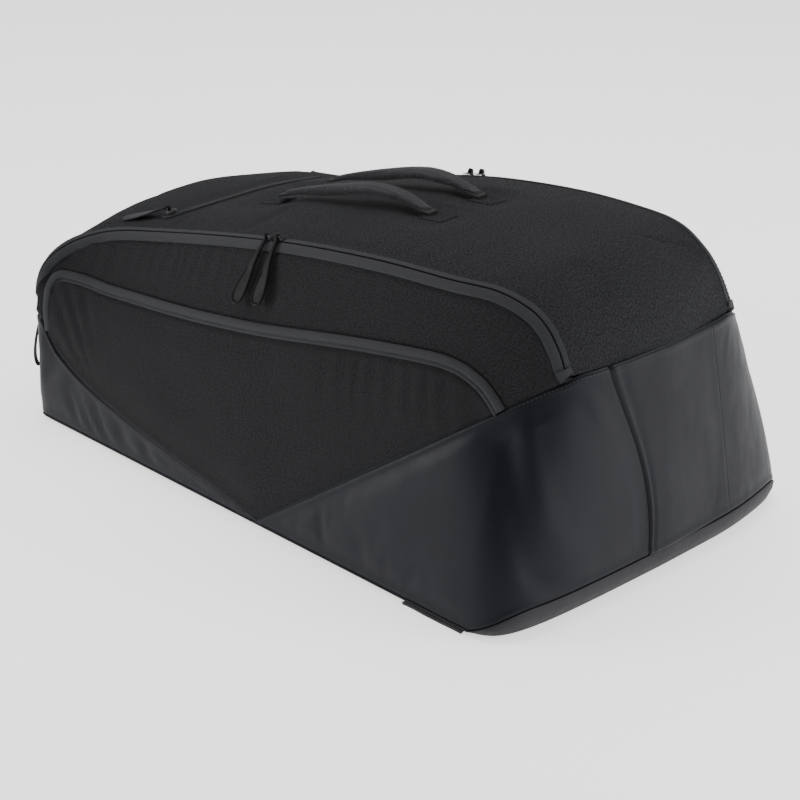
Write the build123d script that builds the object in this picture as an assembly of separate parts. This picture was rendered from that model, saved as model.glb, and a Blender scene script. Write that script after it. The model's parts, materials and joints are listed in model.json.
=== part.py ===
from build123d import *
import math
import os

# Racket tournament bag, lying on its back with the carry handles on top.
# +X runs to the wide racket-head end, -Y is the front, Z = 0 is the ground, in millimetres.
os.makedirs("parts", exist_ok=True)

# ---- driving dimensions ----
HALF_LENGTH = 396
HALF_WIDTH = 240
BASE_TOP = 9          # top of the base panel, where the walls begin
END_LIP_TOP = 28      # how far the base panel wraps up the racket-head end
END_SEAM = 254        # seam between the smooth end and the woven top
WALL = 5              # padded fabric wall
GAP = 0.4             # clearance between pieces on different bodies
LEFT_SPLIT = -352     # where the opening side panels end and the end walls begin
RIGHT_SPLIT = 346
GUSSET_HALF = 84      # half width of the centre gusset at the racket-head end
SLIT_INSET = 6        # the zip slit lies this far inside the top edge
TAPE = 5.6            # visible width of one zip tape
TAPES_BEGIN, TAPES_END = -386, 361    # the upper zip tapes run between these places
TOP_FLOOR = 140       # the top and its zips lie wholly above this height
END_TOP_BEGINS = 300  # from here to the racket-head end the top stops at the end seam
SIDE_SHARES = (0.35, 0.7)    # shares of the wall's height where its lean is set
LEAN_POWER = 1.6      # how late up the wall the side begins to lean inward
CREST_OFFSET = 20     # spare length of the block between the slits, past both ends

# Stations along the bag: X, half width at the base, half width and height at the
# top edge, and height of the crown on the centre line.
STATIONS = [
    (-396, 214, 196, 150, 226),
    (-386, 229, 200, 182, 234),
    (-360, 237, 182, 214, 243),
    (-296, 240, 158, 239, 256),
    (-224, 240, 152, 255, 270),
    (-107, 240, 153, 281, 295),
    (9, 240, 157, 304, 317),
    (125, 240, 156, 318, 331),
    (222, 240, 151, 323, 336),
    (280, 240, 140, 323, 336),
    (319, 240, 131, 311, 327),
    (344, 236, 129, 288, 309),
    (361, 228, 128, 256, 285),
    (376, 212, 104, 250, 268),
    (390, 186, 84, 240, 255),
]
CENTRE_SHIFT = 6.2    # puts the origin under the middle of the whole, pocket pull included


def side_point(base_half, top_half, top_height, share, grow):
    """A point on the side wall, share = 0 at the base and 1 at the top edge."""
    lean = (base_half - top_half) * share**LEAN_POWER
    return (base_half - lean + grow, BASE_TOP + (top_height + grow - BASE_TOP) * share)


def section(station, grow, floor):
    """The closed cross-section of the bag at one station, grown outward by grow."""
    x, base_half, top_half, top_height, crown = station
    low = (base_half + grow, floor)
    middle = [side_point(base_half, top_half, top_height, share, grow) for share in SIDE_SHARES]
    edge = (top_half + grow, top_height + grow)
    peak = (0, crown + grow)
    plane = Plane(origin=(x, 0, 0), x_dir=(0, 1, 0), z_dir=(1, 0, 0))
    right = Spline(low, *middle, edge)
    left = Spline(*[(-y, z) for y, z in (low, *middle, edge)])
    top = Spline(edge, peak, (-edge[0], edge[1]))
    bottom = Line((-low[0], floor), low)
    return plane * make_face([right, top, left, bottom])


def bag_solid(grow, floor):
    return loft([section(station, grow, floor) for station in STATIONS], ruled=True)


def side_view(outline, half_depth=300):
    """An outline drawn in X and Z, as a block through the whole bag."""
    face = make_face(Polyline(*outline, close=True))
    return extrude(Plane.XZ * face, half_depth, both=True)


def end_trim(inset):
    """The block that gives the two ends their slope, inset from the outer faces."""
    foot, shoulder = 386 - inset, 374 - inset
    outline = [
        (-HALF_LENGTH + inset, -5), (foot, -5), (foot, END_LIP_TOP), (shoulder, END_SEAM),
        (364 - inset, 282), (350, 303), (300, 360), (-HALF_LENGTH + inset, 360),
    ]
    return side_view(outline)


def plan_strip(offset):
    """A block between the two zip slits, widened or narrowed by offset."""
    line = [(x, top_half - SLIT_INSET + offset) for x, _, top_half, _, _ in STATIONS]
    start, finish = line[0], line[-1]
    points = [(start[0] - CREST_OFFSET, start[1])] + line + [(finish[0] + CREST_OFFSET, finish[1])]
    outline = points + [(x, -y) for x, y in reversed(points)]
    return Pos(0, 0, 130) * extrude(make_face(Polyline(*outline, close=True)), 300)


def x_slab(low, high):
    return Pos((low + high) / 2, 0, 200) * Box(high - low, 700, 700)


def y_slab(low, high):
    return Pos(0, (low + high) / 2, 200) * Box(1000, high - low, 700)


def z_slab(low, high):
    return Pos(0, 0, (low + high) / 2) * Box(1000, 700, high - low)


def height_on_top(x, y):
    """Height of the outer top surface above a point between the slits."""
    for first, second in zip(STATIONS, STATIONS[1:]):
        if first[0] <= x <= second[0]:
            t = (x - first[0]) / (second[0] - first[0])
            half = first[2] + (second[2] - first[2]) * t
            edge = first[3] + (second[3] - first[3]) * t
            crown = first[4] + (second[4] - first[4]) * t
            return crown - (crown - edge) * (y / half) ** 2
    raise ValueError("outside the bag")


def save(name, shape):
    centred = Pos(CENTRE_SHIFT, 0, 0) * Compound(children=list(shape.solids()))
    export_step(centred, f"parts/{name}.step")


# ---- walls, all cut from one hollow shell ----
outer = bag_solid(0, BASE_TOP + 0.5) & end_trim(0)
inner = bag_solid(-WALL, BASE_TOP - 3) & end_trim(WALL)
shell = outer - inner

between_tapes = plan_strip(-TAPE)
between_slits = plan_strip(-GAP)
past_slits = plan_strip(GAP)
past_tapes = plan_strip(TAPE)
above_end_seam = z_slab(END_SEAM, 500) & x_slab(END_TOP_BEGINS, 500)
top_region = (x_slab(-500, END_TOP_BEGINS) & z_slab(TOP_FLOOR, 500)) + above_end_seam

top_panel = shell & between_tapes & top_region
upper_tapes = (shell & between_slits & top_region & x_slab(TAPES_BEGIN, TAPES_END)) - between_tapes
save("top_panel", top_panel)
save("front_zip_upper_tape", upper_tapes & y_slab(-300, 0))
save("rear_zip_upper_tape", upper_tapes & y_slab(0, 300))

opening_span = x_slab(LEFT_SPLIT, RIGHT_SPLIT)
lower_tapes = (shell & past_tapes & opening_span & z_slab(TOP_FLOOR, 500)) - past_slits
side_panels = (shell & opening_span) - (past_tapes & z_slab(TOP_FLOOR, 500))
save("front_zip_lower_tape", lower_tapes & y_slab(-300, 0))
save("rear_zip_lower_tape", lower_tapes & y_slab(0, 300))
save("front_side_panel", side_panels & y_slab(-300, 0))
save("rear_side_panel", side_panels & y_slab(0, 300))

fixed_top = past_slits & top_region
left_end = (shell & x_slab(-500, LEFT_SPLIT - GAP)) - (between_slits & z_slab(TOP_FLOOR, 500))
save("left_end_wall", left_end)

right_end = (shell & x_slab(RIGHT_SPLIT + GAP, 500) & z_slab(END_LIP_TOP, 500)) - fixed_top
save("right_front_corner", right_end & y_slab(-300, -GUSSET_HALF))
save("right_rear_corner", right_end & y_slab(GUSSET_HALF, 300))
save("right_end_gusset", right_end & y_slab(-GUSSET_HALF, GUSSET_HALF))

# ---- base: a padded panel with a lip up the racket-head end and a recess below ----
CORNER_LEFT = 24
CORNER_RIGHT = 60
END_BOW = 8           # how much the racket-head end bows outward
END_BOW_RADIUS = 600
FOOT_CHAMFER = 4
RECESS = 6            # depth of the recess that takes the shoulder straps
RIM = 26
TAB_X = 290           # place of the strap tab along the bag
TAB_WIDTH = 84
TAB_NOTCH = 4.4       # depth of the notch that clears the tab
TAB_SPARE = 4
base_outline = make_face(
    FilletPolyline(
        (-HALF_LENGTH, -HALF_WIDTH), (HALF_LENGTH - END_BOW, -HALF_WIDTH), (HALF_LENGTH, 0),
        (HALF_LENGTH - END_BOW, HALF_WIDTH), (-HALF_LENGTH, HALF_WIDTH),
        radius=[CORNER_LEFT, CORNER_RIGHT, END_BOW_RADIUS, CORNER_RIGHT, CORNER_LEFT], close=True,
    )
)
base_plate = extrude(base_outline, BASE_TOP)
base_plate = chamfer(base_plate.faces().sort_by(Axis.Z)[0].edges(), FOOT_CHAMFER)
recess = Box(2 * (HALF_LENGTH - RIM), 2 * (HALF_WIDTH - RIM), 2 * RECESS)
tab_notch = Pos(TAB_X, 0, 0) * Box(TAB_WIDTH + TAB_SPARE, 3 * HALF_WIDTH, 2 * TAB_NOTCH)
end_lip = (bag_solid(0, BASE_TOP - 1) & end_trim(0) & x_slab(RIGHT_SPLIT + GAP, 500)) - inner
end_lip = end_lip & z_slab(BASE_TOP - 1, END_LIP_TOP - 0.3)
base_panel = base_plate - recess - tab_notch
base_panel = base_panel + end_lip
save("base_panel", base_panel)

BOARD = 3
BOARD_LENGTH, BOARD_WIDTH = 2 * HALF_LENGTH - 76, 2 * HALF_WIDTH - 34
BOARD_SHIFT = -6      # the board lies a little towards the narrow end
BOARD_GAP = 0.3
board = Pos(BOARD_SHIFT, 0, BASE_TOP + BOARD_GAP + BOARD / 2) * Box(BOARD_LENGTH, BOARD_WIDTH, BOARD)
save("base_board", board)

# ---- centre divider between the two racket compartments ----
DIVIDER = 6
divider = inner & y_slab(-DIVIDER / 2, DIVIDER / 2) & z_slab(BASE_TOP + BOARD + 2 * BOARD_GAP, 500)
divider = divider & x_slab(-HALF_LENGTH + WALL + 1, 500)
save("centre_divider", divider)

# ---- zip end tabs at the racket-head end of the main zips ----
END_TAB = (26, 15, 2.4)
END_TAB_PLACE = (352.5, 126, 272)
END_TAB_LIFT = 2.2


def end_tab(side):
    """A folded tab across the zip's end, lying down the slope of the racket-head corner."""
    x, y, z = END_TAB_PLACE
    place = Plane(origin=(x, side * y, z), x_dir=(0.47, 0, -0.88), z_dir=(0.77, side * 0.49, 0.41))
    return place * Pos(0, 0, END_TAB_LIFT) * Box(*END_TAB) - shell


save("front_zip_end_tab", end_tab(-1))
save("rear_zip_end_tab", end_tab(1))

# ---- front pocket, an overlay on the front side panel ----
POCKET_DEPTH = 8
POCKET_REACH = 3      # how far the filled pocket may stand past the base
POCKET_FLOOR = 16
ZIP_BAND = 13
# The pocket's outline in side view: up the narrow end, along its zip, and back along the slanted seams.
pocket_left = [(-350, 120), (-350, 150), (-342, 164)]
pocket_zip_line = [
    (-328, 171), (-230, 183), (-113, 199), (34, 222), (142, 242),
    (213, 252), (249, 254), (286, 248), (317, 238),
]
pocket_foot = [(344, 222), (318, 214), (30, 20), (-82, 24), (-204, 41), (-306, 60), (-350, 84)]
zip_band = side_view(pocket_zip_line + [(x, z - ZIP_BAND) for x, z in reversed(pocket_zip_line)])
skin = bag_solid(POCKET_DEPTH, BASE_TOP + 0.5) - bag_solid(0.3, BASE_TOP - 1)
skin = skin & y_slab(-HALF_WIDTH - POCKET_REACH, -100) & z_slab(POCKET_FLOOR, 300)
save("front_pocket_zip", skin & zip_band)
save("front_pocket_panel", (skin & side_view(pocket_left + pocket_zip_line + pocket_foot)) - zip_band)

# ---- sliders and pulls ----
SLIDER = (14, 9, 3)
SLIDER_CORNER = 3
BRIDGE_RADIUS = 1.4
BRIDGE_LENGTH = 9
POST = (1.4, 2)       # section of the posts that carry the bridge
POST_PLACE = 3.8
SINK = 0.4            # how deep one lump starts inside another
BRIDGE_HEIGHT = 6.4
BRIDGE_SHIFT = 3.5    # the bridge stands towards the side where the pull hangs
EYE_WALL = 1.2
EYE_WIDTH = 5
PULL_CLEARANCE = 0.4
PULL_THICKNESS = 3.2
LEAF_THICKNESS = 2.4


def slider(place, turn=0):
    """A zip slider: a plate with a raised bridge, turned by turn degrees, for the pull."""
    length, width, thickness = SLIDER
    plate = extrude(RectangleRounded(length, width, SLIDER_CORNER), thickness)
    bridge = Pos(0, 0, BRIDGE_HEIGHT) * Rot(0, 90, 0) * Cylinder(BRIDGE_RADIUS, BRIDGE_LENGTH)
    rise = BRIDGE_HEIGHT - thickness + SINK
    for x in (-POST_PLACE, POST_PLACE):
        bridge = bridge + Pos(x, 0, thickness + rise / 2 - SINK) * Box(*POST, rise)
    return place * (plate + Rot(0, 0, turn) * Pos(0, -BRIDGE_SHIFT, 0) * bridge)


def eye_and_hole():
    """The ring that turns on the bridge, and the bore through it."""
    eye = Rot(0, 90, 0) * Cylinder(BRIDGE_RADIUS + PULL_CLEARANCE + EYE_WALL, EYE_WIDTH)
    hole = Rot(0, 90, 0) * Cylinder(BRIDGE_RADIUS + PULL_CLEARANCE, 4 * EYE_WIDTH)
    return eye, hole


def loop_pull(place, length, sway):
    """A moulded loop pull whose teardrop grip ends sway to one side of its eye."""
    grip_middle = 0.76 * length
    half_widths = [(4, 2.4), (18, 3), (0.72 * length, 9), (0.9 * length, 8), (length, 2)]
    left = [(sway * d / length - w, -d) for d, w in half_widths]
    right = [(sway * d / length + w, -d) for d, w in reversed(half_widths)]
    outline = make_face(Polyline(*left, *right, close=True))
    body = Pos(0, 0, -PULL_THICKNESS / 2) * extrude(outline, PULL_THICKNESS)
    neck = Pos(0, -3.5, 0) * Box(4.8, 4, PULL_THICKNESS)
    dish = Pos(sway * grip_middle / length, -grip_middle, PULL_THICKNESS / 2) * Cylinder(5.5, 1.2)
    eye, hole = eye_and_hole()
    return place * (body + neck + eye - hole - dish)


def leaf_pull(place, length):
    """A folded fabric tab, leaf-shaped, on a small ring."""
    outline = make_face([
        Spline((-2, -6), (-8.5, -0.5 * length), (0, -length)),
        Spline((0, -length), (8.5, -0.5 * length), (2, -6)),
        Line((2, -6), (-2, -6)),
    ])
    leaf = Pos(0, 0, -LEAF_THICKNESS / 2) * extrude(outline, LEAF_THICKNESS)
    neck = Pos(0, -5, 0) * Box(4, 6, LEAF_THICKNESS)
    eye, hole = eye_and_hole()
    return place * (leaf + neck + eye - hole)


def pull_frame(slider_frame, turn, tilt):
    """The pull's frame: X along the bridge, -Y the way it hangs, tilted below the zip plane."""
    normal = slider_frame.z_dir
    bridge = slider_frame.x_dir.rotate(Axis((0, 0, 0), normal), turn)
    flat = bridge.cross(normal)
    hang = flat * math.cos(math.radians(tilt)) - normal * math.sin(math.radians(tilt))
    origin = slider_frame.origin + normal * BRIDGE_HEIGHT + flat * BRIDGE_SHIFT
    return Plane(origin=origin, x_dir=bridge, z_dir=bridge.cross(-hang))


SLIDER_LIFT = 1.8
SLIDER_ROW = 152      # distance of the main sliders from the centre plane
SLIDER_OUT, SLIDER_UP = 0.35, 0.94    # the way the main sliders face: outward and up
STRETCH = (STATIONS[5], STATIONS[6])  # the straight stretch of zip that the main sliders sit on
ZIP_SLOPE = (STRETCH[1][3] - STRETCH[0][3]) / (STRETCH[1][0] - STRETCH[0][0])
MAIN_PULL = 78
MAIN_TILT = 41        # degrees that the main pulls hang below the zip's plane
MAIN_SLIDERS = (("left", -50, -26), ("right", -32, -9))    # place along the zip and the pull's sway


def main_slider_frame(x, side):
    start_x, _, _, start_z, _ = STRETCH[1]
    point = (x, side * SLIDER_ROW, start_z + (x - start_x) * ZIP_SLOPE + SLIDER_LIFT)
    normal = (-SLIDER_UP * ZIP_SLOPE, side * SLIDER_OUT, SLIDER_UP)
    return Plane(origin=point, x_dir=(-side, 0, -side * ZIP_SLOPE), z_dir=normal)


for name, side in (("front", -1), ("rear", 1)):
    for end, x, sway in MAIN_SLIDERS:
        frame = main_slider_frame(x, side)
        save(f"{name}_{end}_slider", slider(frame))
        save(f"{name}_{end}_pull", loop_pull(pull_frame(frame, 0, MAIN_TILT), MAIN_PULL, -side * sway))

POCKET_PULL = 64
POCKET_TURN = -90     # degrees between the zip and the way the pull hangs
POCKET_TILT = -5
pocket_frame = Plane(origin=(-392.8, -215.7, 124), x_dir=(0, 0, 1), z_dir=(-0.83, -0.55, 0))
save("front_pocket_slider", slider(pocket_frame, POCKET_TURN))
save("front_pocket_pull", loop_pull(pull_frame(pocket_frame, POCKET_TURN, POCKET_TILT), POCKET_PULL, 0))

TOP_ZIP_X, TOP_ZIP_Y = -277, -109
TOP_SLIDER_LIFT = 3.4
TOP_PULL = 60
TOP_TURN = -127
TOP_TILT = 3
top_place = (TOP_ZIP_X, TOP_ZIP_Y, height_on_top(TOP_ZIP_X, TOP_ZIP_Y) + TOP_SLIDER_LIFT)
top_frame = Plane(origin=top_place, x_dir=(0.33, 0.92, 0.206), z_dir=(-0.213, -0.148, 0.966))
save("top_pocket_slider", slider(top_frame, TOP_TURN))
save("top_pocket_pull", leaf_pull(pull_frame(top_frame, TOP_TURN, TOP_TILT), TOP_PULL))


STRIP_SINK = -0.5     # the underside of a strip on the top, a little inside the fabric


def top_strip(points, width, low, high):
    """A strip lying on the top panel along a few points, as one solid."""
    bands = []
    for (x0, y0), (x1, y1) in zip(points, points[1:]):
        z0, z1 = height_on_top(x0, y0), height_on_top(x1, y1)
        middle = Vector((x0 + x1) / 2, (y0 + y1) / 2, (z0 + z1) / 2 + (low + high) / 2)
        along = Vector(x1 - x0, y1 - y0, z1 - z0)
        place = Plane(origin=middle, x_dir=along, z_dir=Vector(0, 0, 1) - along * (along.Z / along.length**2))
        bands.append(place * Box(along.length + 0.6, width, high - low))
    strip = bands[0]
    for band in bands[1:]:
        strip = strip + band
    return strip


TOP_ZIP_WIDTH, TOP_ZIP_HEIGHT = 11, 1.4
half_zip = [(-280, 118), (-268, 84), (-262, 42)]
top_zip_points = [(x, -y) for x, y in half_zip] + [(-260, 0)] + half_zip[::-1]
save("top_pocket_zip", top_strip(top_zip_points, TOP_ZIP_WIDTH, STRIP_SINK, TOP_ZIP_HEIGHT) - shell)

# ---- carry handles ----
HANDLE_ROW = 38
HANDLE_LEFT, HANDLE_RIGHT = -165, 87
STRAP_THICKNESS = 8
GRIP_LEFT, GRIP_RIGHT = -72, 42
GRIP_PADDING = 5
GRIP_HALF_WIDTH = 14.5
END_HALF_WIDTH, MIDDLE_HALF_WIDTH = 4.5, 12
PATCH_LENGTH, PATCH_WIDTH, PATCH_HEIGHT = 30, 26, 1.3
PATCH_SHIFT = 8       # the patches reach this much further out than the handle's ends
handle_line = [
    (HANDLE_LEFT, 290), (-129, 305), (-78, 322), (-30, 338),
    (5, 346), (40, 344), (66, 338), (HANDLE_RIGHT, 334),
]


def handle_band(thickness, half_widths):
    """The arched strap: its side view cut to its plan outline."""
    upper = [(x, z + thickness / 2) for x, z in handle_line]
    lower = [(x, z - thickness / 2) for x, z in reversed(handle_line)]
    face = make_face([Spline(*upper), Line(upper[-1], lower[0]), Spline(*lower), Line(lower[-1], upper[0])])
    plan = [(x, w) for x, w in half_widths] + [(x, -w) for x, w in reversed(half_widths)]
    return extrude(Plane.XZ * face, 40, both=True) & extrude(make_face(Polyline(*plan, close=True)), 500)


strap_plan = [
    (HANDLE_LEFT - 2, END_HALF_WIDTH), (-130, 7), (-90, MIDDLE_HALF_WIDTH), (56, MIDDLE_HALF_WIDTH),
    (HANDLE_RIGHT + 2, END_HALF_WIDTH),
]
grip_plan = [(GRIP_LEFT, GRIP_HALF_WIDTH), (GRIP_RIGHT, GRIP_HALF_WIDTH)]
for name, side in (("front", -1), ("rear", 1)):
    strap = Pos(0, side * HANDLE_ROW, 0) * handle_band(STRAP_THICKNESS, strap_plan)
    sleeve = Pos(0, side * HANDLE_ROW, 0) * handle_band(STRAP_THICKNESS + GRIP_PADDING, grip_plan)
    save(f"{name}_handle", strap)
    save(f"{name}_handle_grip", sleeve - strap)

patches = []
for x in (HANDLE_LEFT - PATCH_SHIFT, HANDLE_RIGHT + PATCH_SHIFT):
    for y in (-HANDLE_ROW, HANDLE_ROW):
        ends = [(x - PATCH_LENGTH / 2, y), (x + PATCH_LENGTH / 2, y)]
        patches.append(top_strip(ends, PATCH_WIDTH, STRIP_SINK, PATCH_HEIGHT))
save("handle_anchor_patches", Compound(children=patches) - shell)

# ---- shoulder straps, stowed in the recess under the base ----
PAD_LOW, PAD_HIGH = 0.6, 5.2
PAD_WIDTH = 62
PAD_LINE = [(-252, 62), (-120, 70), (-20, 86), (40, 103)]    # middle line of a pad, from above
LOCK_LENGTH, LOCK_WIDTH, LOCK_THICKNESS = 34, 36, 4
LOCK_HEIGHT = 2.9     # height of the lock's middle
LOCK_SLOT, LOCK_SLOT_PLACE = 5, 8
WEB_WIDTH, WEB_THICKNESS = 25, 1.6
WEB_HEIGHT = 3.2      # height of the webbing's middle
STRAP_TAB_LOW, STRAP_TAB_HEIGHT = 0.4, 3.6
STRAP_TAB_INNER, STRAP_TAB_OUTER = 216, 243    # the tab reaches a little past the base's edge
STRAP_TAB_SLANT = 8


def strap_pad(side):
    """A padded strap, its middle line curving out towards the racket-head end."""
    half = PAD_WIDTH / 2
    edge = [(x, side * (y + half)) for x, y in PAD_LINE]
    back = [(x, side * (y - half)) for x, y in reversed(PAD_LINE)]
    face = make_face([Spline(*edge), Line(edge[-1], back[0]), Spline(*back), Line(back[-1], edge[0])])
    return Pos(0, 0, PAD_LOW) * extrude(face, PAD_HIGH - PAD_LOW)


WEB_START, WEB_END = (66, 112), (276, 203)
web_run = Vector(*WEB_END) - Vector(*WEB_START)
web_angle = math.degrees(math.atan2(web_run.Y, web_run.X))
web_begin = LOCK_LENGTH / 2 + 1


def ladder_lock():
    """The two-slot buckle between a pad and its webbing."""
    lock = Box(LOCK_LENGTH, LOCK_WIDTH, LOCK_THICKNESS)
    for x in (-LOCK_SLOT_PLACE, LOCK_SLOT_PLACE):
        lock = lock - Pos(x, 0, 0) * Box(LOCK_SLOT, WEB_WIDTH + 2, 3 * LOCK_THICKNESS)
    return lock


def strap_tab(side):
    """The folded tab that holds the webbing's end at the base's edge, wider outside."""
    inner_half, outer_half = TAB_WIDTH / 2 - STRAP_TAB_SLANT, TAB_WIDTH / 2
    outline = [
        (TAB_X - inner_half, STRAP_TAB_INNER), (TAB_X - outer_half, STRAP_TAB_OUTER),
        (TAB_X + outer_half, STRAP_TAB_OUTER), (TAB_X + inner_half, STRAP_TAB_INNER),
    ]
    face = make_face(Polyline(*[(x, side * y) for x, y in outline], close=True))
    return Pos(0, 0, STRAP_TAB_LOW) * extrude(face, STRAP_TAB_HEIGHT)


for name, side in (("front", -1), ("rear", 1)):
    x, y = WEB_START
    turn = Rot(0, 0, side * web_angle)
    web_middle = (web_begin + web_run.length) / 2
    web = Pos(web_middle, 0, 0) * Box(web_run.length - web_begin, WEB_WIDTH, WEB_THICKNESS)
    save(f"{name}_shoulder_strap", strap_pad(side))
    save(f"{name}_ladder_lock", Pos(x, side * y, LOCK_HEIGHT) * turn * ladder_lock())
    save(f"{name}_strap_webbing", Pos(x, side * y, WEB_HEIGHT) * turn * web)
    save(f"{name}_strap_tab", strap_tab(side))
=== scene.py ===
import json
import math

import bmesh
import bpy
import numpy as np
from mathutils import Matrix, Vector


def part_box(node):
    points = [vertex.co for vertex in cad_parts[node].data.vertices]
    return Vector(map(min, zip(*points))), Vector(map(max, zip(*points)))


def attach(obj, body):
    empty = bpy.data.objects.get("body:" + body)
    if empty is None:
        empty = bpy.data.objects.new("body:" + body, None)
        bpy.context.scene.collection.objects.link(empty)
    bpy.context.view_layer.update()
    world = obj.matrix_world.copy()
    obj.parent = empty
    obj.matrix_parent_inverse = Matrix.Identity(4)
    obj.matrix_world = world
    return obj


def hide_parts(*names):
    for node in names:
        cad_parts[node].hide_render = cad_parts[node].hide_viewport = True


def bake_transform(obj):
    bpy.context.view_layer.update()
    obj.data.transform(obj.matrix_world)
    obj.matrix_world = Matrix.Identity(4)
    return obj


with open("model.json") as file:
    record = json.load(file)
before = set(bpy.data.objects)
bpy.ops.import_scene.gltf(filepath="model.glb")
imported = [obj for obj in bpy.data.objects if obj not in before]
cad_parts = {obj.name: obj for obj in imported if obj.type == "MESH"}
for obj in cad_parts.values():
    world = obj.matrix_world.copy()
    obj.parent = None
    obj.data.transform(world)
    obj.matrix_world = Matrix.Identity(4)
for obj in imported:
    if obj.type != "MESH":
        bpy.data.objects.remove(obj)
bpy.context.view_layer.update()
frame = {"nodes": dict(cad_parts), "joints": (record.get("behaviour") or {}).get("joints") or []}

# A racket tournament bag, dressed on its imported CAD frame. Design sizes are in millimetres,
# with X measured from the middle of the base panel, as in the CAD source.
base_low, base_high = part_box("base_panel")
MIDDLE_X = (base_low.x + base_high.x) / 2

# ---- driving dimensions ----
BASE_EDGE_Z = 4       # height of the lower edge of the walls
RECESS_Z = 6          # height of the recess under the base
WALL = 2.6            # padded fabric thickness
SPACING = 4.2         # distance between mesh lines on a wall
LIP_HEIGHT = 31       # how far the base wraps up the racket-head end
LIP_TUCK = 13         # how far that wrap curves back under
LIP_GROWS = (14.6, 18.3)     # the columns over which it rises from nothing
CORE_X, CORE_Y = 330, 178    # the base narrows towards this inner rectangle
UPPER_TAPE = 7        # visible width of the zip tape on the top
LOWER_TAPE = 11.5     # and on the side
ZIP_FOLD = 9          # length of the fold that closes the zip's end
POCKET_TAPE = 13      # reach of the pocket zip's flap and lower tape, from its upper edge
SEAM_STITCH = 3.4     # distance of the topstitching from a seam
REAR_SLUMP = 8.5      # how far the rear corner of the racket-head end falls inward
REAR_SINK = 7         # and how much lower the rear of the narrow end sits
FOOT_ROUND = 9        # how far the foot of the narrow end curves under
SPARE_CLOTH = 0.004   # how much larger a simulated panel is than its place
DRAPE_LIMIT = 3.5     # how far the simulation may move it
DRAPE_STEPS = 20      # frames that a simulation runs
SEWN_MARGIN = 5       # width of the edge that is sewn down while it runs
POCKET_PUFF = 7       # how far a filled pocket stands off the side
CUT_X = -12           # where a piece that crosses an opening side is divided into its two halves
BEND_LEFT = (-392, -262)    # X range at each end of the opening side
BEND_RIGHT = (368, 238)

# The loft. Each row is one column of the side wall, from the middle of the narrow end (row 0)
# past the front to the middle of the racket-head end: base X and Y, then the zip slit's X, Y
# and height, then the crown's X and height on the centre line. The rear mirrors it.
COLUMNS = np.array([
    (-396, 0, -399, 0, 128, -399, 128),
    (-396, -100, -398, -100, 128, -399, 128),
    (-396, -190, -397, -185, 128, -399, 128),
    (-395, -219, -396, -214, 130, -399, 130),
    (-391, -234, -396, -223, 155, -402, 160),
    (-380, -239, -388, -223, 183, -402, 190),
    (-360, -240, -376, -209, 204, -400, 214),
    (-335, -240, -354, -186, 222, -390, 233),
    (-296, -240, -316, -164, 236, -347, 246),
    (-224, -240, -240, -153, 252, -250, 262),
    (-107, -240, -115, -153, 279.5, -115, 292),
    (9, -240, 5, -157, 303, 5, 316),
    (125, -240, 125, -156, 318, 125, 331),
    (222, -240, 222, -151, 323, 222, 336.5),
    (280, -240, 276, -141, 323.5, 280, 336),
    (325, -240, 312, -132.5, 313, 322, 328),
    (352, -238, 333, -129.5, 299, 348, 308),
    (372, -228, 349, -128.5, 278, 366, 281),
    (385, -205, 361, -127, 254, 375, 254),
    (391, -165, 368, -108, 254, 375, 254),
    (394, -100, 372.5, -75, 254, 375, 254),
    (395.5, 0, 375, 0, 254, 375, 254),
], float)
LAST = len(COLUMNS) - 1

SLIT_START, SLIT_END = 3.0, 18.5    # the opening side runs between these columns
ZIP_START, ZIP_END = 3.8, 17.95     # and its zip between these
TOP_END = 18.0                      # column where the top ends
CORNER_FOOT = 17.6                  # column where the racket-head corner turns at its foot
CORNER_CALM = 16.5                  # past this column the corner's cloth is pulled smooth
STEPS = 60                          # points along a seam that is drawn by its columns
# The deep seam down the end, front of the middle, and its shallow twin at the rear.
GROOVE_TOP, GROOVE_FOOT, GROOVE_BOW = 19.89, 20.7, 0.27
FAINT_SEAM = 19.86


# ---- the surfaces of the loft ----
def hermite(rows, at):
    """Rows of numbers read smoothly between whole row numbers."""
    at = np.clip(at, 0, len(rows) - 1 - 1e-9)
    index = np.floor(at).astype(int)
    share = (at - index)[..., None]
    slope = np.zeros_like(rows)
    slope[1:-1] = (rows[2:] - rows[:-2]) / 2
    slope[0] = rows[1] - rows[0]
    slope[-1] = rows[-1] - rows[-2]
    a, b = rows[index], rows[index + 1]
    slope_a, slope_b = slope[index], slope[index + 1]
    return ((2 * share**3 - 3 * share**2 + 1) * a + (share**3 - 2 * share**2 + share) * slope_a
            + (3 * share**2 - 2 * share**3) * b + (share**3 - share**2) * slope_b)


def window(value, start, end):
    """0 before start and 1 after end, smooth between."""
    share = np.clip((value - start) / (end - start), 0, 1)
    return share * share * (3 - 2 * share)


def bump(value, middle, width):
    return np.exp(-((value - middle) / width) ** 2)


def along_slit(start, end, count=STEPS):
    """The slit between two columns, as (column, 1)."""
    return upper_line(np.linspace(start, end, count))


def upper_line(columns):
    """The slit at the given columns, as (column, 1)."""
    columns = np.array(columns, float)
    return np.stack([columns, np.ones_like(columns)], -1)


def wall_point(column, share):
    """A point of the side wall, share 0 at the base and 1 at the slit."""
    row = hermite(COLUMNS, column)
    base, edge = row[..., 0:2], row[..., 2:5]
    flat_side = np.clip((column - 3) / 4, 0, 1) * np.clip((18.5 - column) / 3, 0, 1)
    power = (1.15 + 0.45 * flat_side)[..., None]
    across = base + (edge[..., :2] - base) * share[..., None] ** power
    height = BASE_EDGE_Z + (edge[..., 2:3] - BASE_EDGE_Z) * share[..., None]
    return np.concatenate([across, height], -1)


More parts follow.
